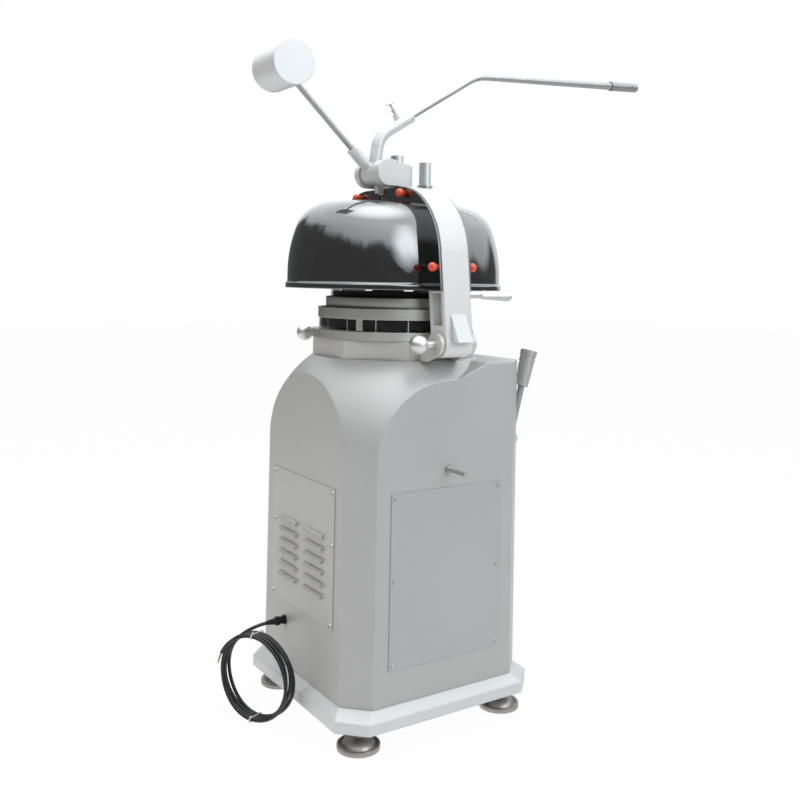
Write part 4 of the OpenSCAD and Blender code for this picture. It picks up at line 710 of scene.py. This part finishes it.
# %% Give every solid and piece its finish
slot_finish = {
    "body_paint": "cabinet_paint", "cast_silver": "casting_paint", "neck_paint": "neck_paint",
    "weight_paint": "weight_paint", "turned_aluminium": "turned_aluminium", "steel": "plated_steel",
    "bright": "polished_chrome", "blades": "blade_steel", "cover_black": "cover_black",
    "black_plastic": "dull_black", "red_plastic": "knob_red", "green_plastic": "button_green",
    "white_plastic": "white_plastic", "black_rubber": "cord_rubber", "dark_iron": "iron_paint",
}
own_finish = {
    "left_panel": "panel_paint", "right_panel": "panel_paint", "rear_panel": "louvre_paint",
    "plinth": "plinth_paint",
    "lever_hub": "hub_paint", "bearing_blocks": "hub_paint", "rod_sleeve": "hub_paint",
    "guide_posts": "guide_steel", "latch_lever": "guide_steel", "rack": "guide_steel",
    "handle_rod": "bar_steel", "weight_arm": "bar_steel", "rounding_lever": "bar_steel",
    "end_sleeve": "handle_steel", "head_screws": "screw_steel", "rounding_grip": "cast_aluminium",
    "hinge_pin": "satin_steel", "lock_ball": "satin_steel",
}


def dress(piece, finish):
    piece.data.materials.clear()
    piece.data.materials.append(finishes[finish])


for sub in frame["record"]["subparts"]:
    dress(nodes[sub["node"]], own_finish.get(sub["node"], slot_finish[sub["material_slot"]]))
new_pieces = (
    ([mains_cord, strain_boot], "cord_rubber"), (tips, "bare_copper"), (ties, "white_plastic"),
    (hems, "cover_black"), ([press_skirt], "turned_aluminium"), (feet, "foot_steel"),
)
for pieces, finish in new_pieces:
    for piece in pieces:
        dress(piece, finish)
for core in cores:
    dress(core, core.name.replace("core", "skin"))

# %% [markdown]
# ## Studio
# A white floor and a white world, with three large lamps. The lamps fade towards their edges, because a
# lamp with a hard edge shows as a hard shape in gloss. Gloss also needs something dark to show, so a ring
# of cloth stands round the stage, closed above. It is dark below and fades to white above, with an uneven
# edge like a skyline, which is lower behind the machine so that the rims of the covers stay bright. Only
# reflections see it: it neither shades the machine nor hides it from a camera.

# %% A share that is 1 for what looks straight at the studio


def seen_directly(tree):
    path = add_node(tree, "LightPath", {})
    share = path.outputs["Is Camera Ray"]
    for ray in ("Is Glossy Ray", "Is Transmission Ray"):
        share = add_node(tree, "Math", {0: share, 1: path.outputs[ray]}, operation="MAXIMUM").outputs[0]
    return share


# %% Floor
floor_size, floor_colour, floor_white_share, studio_roughness = 40, (0.88, 0.88, 0.88), 0.97, 0.9
bpy.ops.object.select_all(action="DESELECT")
bpy.ops.mesh.primitive_plane_add(size=floor_size, location=(0, 0, 0))
floor = bpy.context.object
floor.name = "studio_floor"
floor_finish = bpy.data.materials.new("studio_floor")
floor_finish.use_nodes = True
floor_tree = floor_finish.node_tree
matt = floor_tree.nodes["Principled BSDF"]
feed(floor_tree, matt, {"Base Color": (*floor_colour, 1), "Roughness": studio_roughness})
white = add_node(floor_tree, "Emission", {})
white_share = add_node(floor_tree, "Math", {0: seen_directly(floor_tree), 1: floor_white_share},
                       operation="MULTIPLY")
floor_blend = add_node(floor_tree, "MixShader", {"Fac": white_share.outputs[0], 1: matt.outputs[0],
                                                 2: white.outputs[0]})
feed(floor_tree, floor_tree.nodes["Material Output"], {"Surface": floor_blend.outputs[0]})
floor.data.materials.append(floor_finish)
print("floor", floor_size, "m")

# %% World
world_light, world_white = 0.45, 1.0
world = bpy.data.worlds.new("studio")
bpy.context.scene.world = world
world.use_nodes = True
world_tree = world.node_tree
strength = add_span(world_tree, seen_directly(world_tree), target=(world_light, world_white))
feed(world_tree, world_tree.nodes["Background"], {"Color": (1, 1, 1, 1), "Strength": strength})
print("world lights at", world_light)

# %% Ring of cloth
ring_r, ring_tall, ring_sides = 5.5, 6.0, 96
skyline = start_piece(bpy.ops.mesh.primitive_circle_add, "studio_skyline", vertices=ring_sides,
                      radius=ring_r, fill_type="NOTHING")
extrude("EDGE", (0, 0, ring_tall))
bpy.ops.mesh.edge_face_add()
bpy.ops.object.mode_set(mode="OBJECT")
for kind in ("camera", "diffuse", "shadow", "transmission", "volume_scatter"):
    setattr(skyline, "visible_" + kind, False)
print("ring", ends(skyline))

# %% Shades of the cloth
lean, behind = (-0.05, -0.20, 1.0), (0.15, -0.10, 0.0)
edge_noise, edge_stretch, edge_depth = (0.34, 3), (1, 1, 0.25), -3.4
gap_span, gap_depth = (0.66, 0.9), 1.2
fade_heights, fade_levels = (0.9, 1.9), (0.12, 1.0)
aloft_heights, aloft_levels = (2.0, 6.0), (0.9, 2.1)
cloth_tint = (0.94, 0.98, 1.0)
cloth = start_finish("skyline_cloth", (0.0, 0.0, 0.0), 0.0, studio_roughness)


def cloth_along(direction):
    dot = add_node(cloth.tree, "VectorMath", {0: cloth.place, 1: direction}, operation="DOT_PRODUCT")
    return dot.outputs["Value"]


def cloth_sum(operation, *values):
    return add_node(cloth.tree, "Math", dict(enumerate(values)), operation=operation).outputs[0]


height = cloth_along(lean)
uneven = cloth_sum("MULTIPLY_ADD", add_noise(cloth, *edge_noise, edge_stretch), edge_depth, height)
gap = add_span(cloth.tree, cloth_along(behind), gap_span, (0.0, gap_depth), "SMOOTHSTEP")
fade = add_span(cloth.tree, cloth_sum("ADD", uneven, gap), fade_heights, fade_levels, "SMOOTHSTEP")
aloft = add_span(cloth.tree, height, aloft_heights, aloft_levels)
feed(cloth.tree, cloth.shader, {"Emission Color": (*cloth_tint, 1),
                                "Emission Strength": cloth_sum("MULTIPLY", fade, aloft)})
skyline.data.materials.append(cloth.material)
print("cloth nodes", len(cloth.tree.nodes))

# %% Lamps
lamp_middle, lamp_fade = (0.5, 0.5, 0.0), (0.5, 0.1)


def soft_lamp(name, place, target, size, power, tint=(1, 1, 1)):
    light = bpy.data.lights.new(name, "AREA")
    light.shape = "RECTANGLE"
    light.size, light.size_y = size
    light.energy = power
    light.color = tint
    light.use_nodes = True
    tree = light.node_tree
    across = add_node(tree, "NewGeometry", {}).outputs["Parametric"]
    from_middle = add_node(tree, "VectorMath", {0: across, 1: lamp_middle}, operation="DISTANCE")
    strength = add_span(tree, from_middle.outputs["Value"], lamp_fade, way="SMOOTHSTEP")
    feed(tree, tree.nodes["Emission"], {"Strength": strength})
    lamp = bpy.data.objects.new(name, light)
    bpy.context.scene.collection.objects.link(lamp)
    lamp.location = place
    lamp.rotation_euler = (Vector(target) - Vector(place)).to_track_quat("-Z", "Y").to_euler()
    return lamp


top_lamp = soft_lamp("top_lamp", place=(-0.3, 0.1, 4.4), target=(0, 0, 1.0), size=(4.6, 4.6), power=185)
right_lamp = soft_lamp("right_lamp", place=(-4.7, -1.2, 3.0), target=(0, 0, 1.2), size=(5.0, 4.6), power=215,
                       tint=(0.88, 0.95, 1.0))
left_lamp = soft_lamp("left_lamp", place=(1.6, 4.2, 2.6), target=(0, 0, 1.0), size=(3.0, 3.0), power=115,
                      tint=(1.0, 0.93, 0.82))
left_lamp.visible_glossy = False
bpy.context.scene.view_settings.view_transform = "Standard"
print("lamps", [lamp.name for lamp in (top_lamp, right_lamp, left_lamp)])

# %% [markdown]
# ## Last update
# The view layer is brought up to date.

bpy.context.view_layer.update()
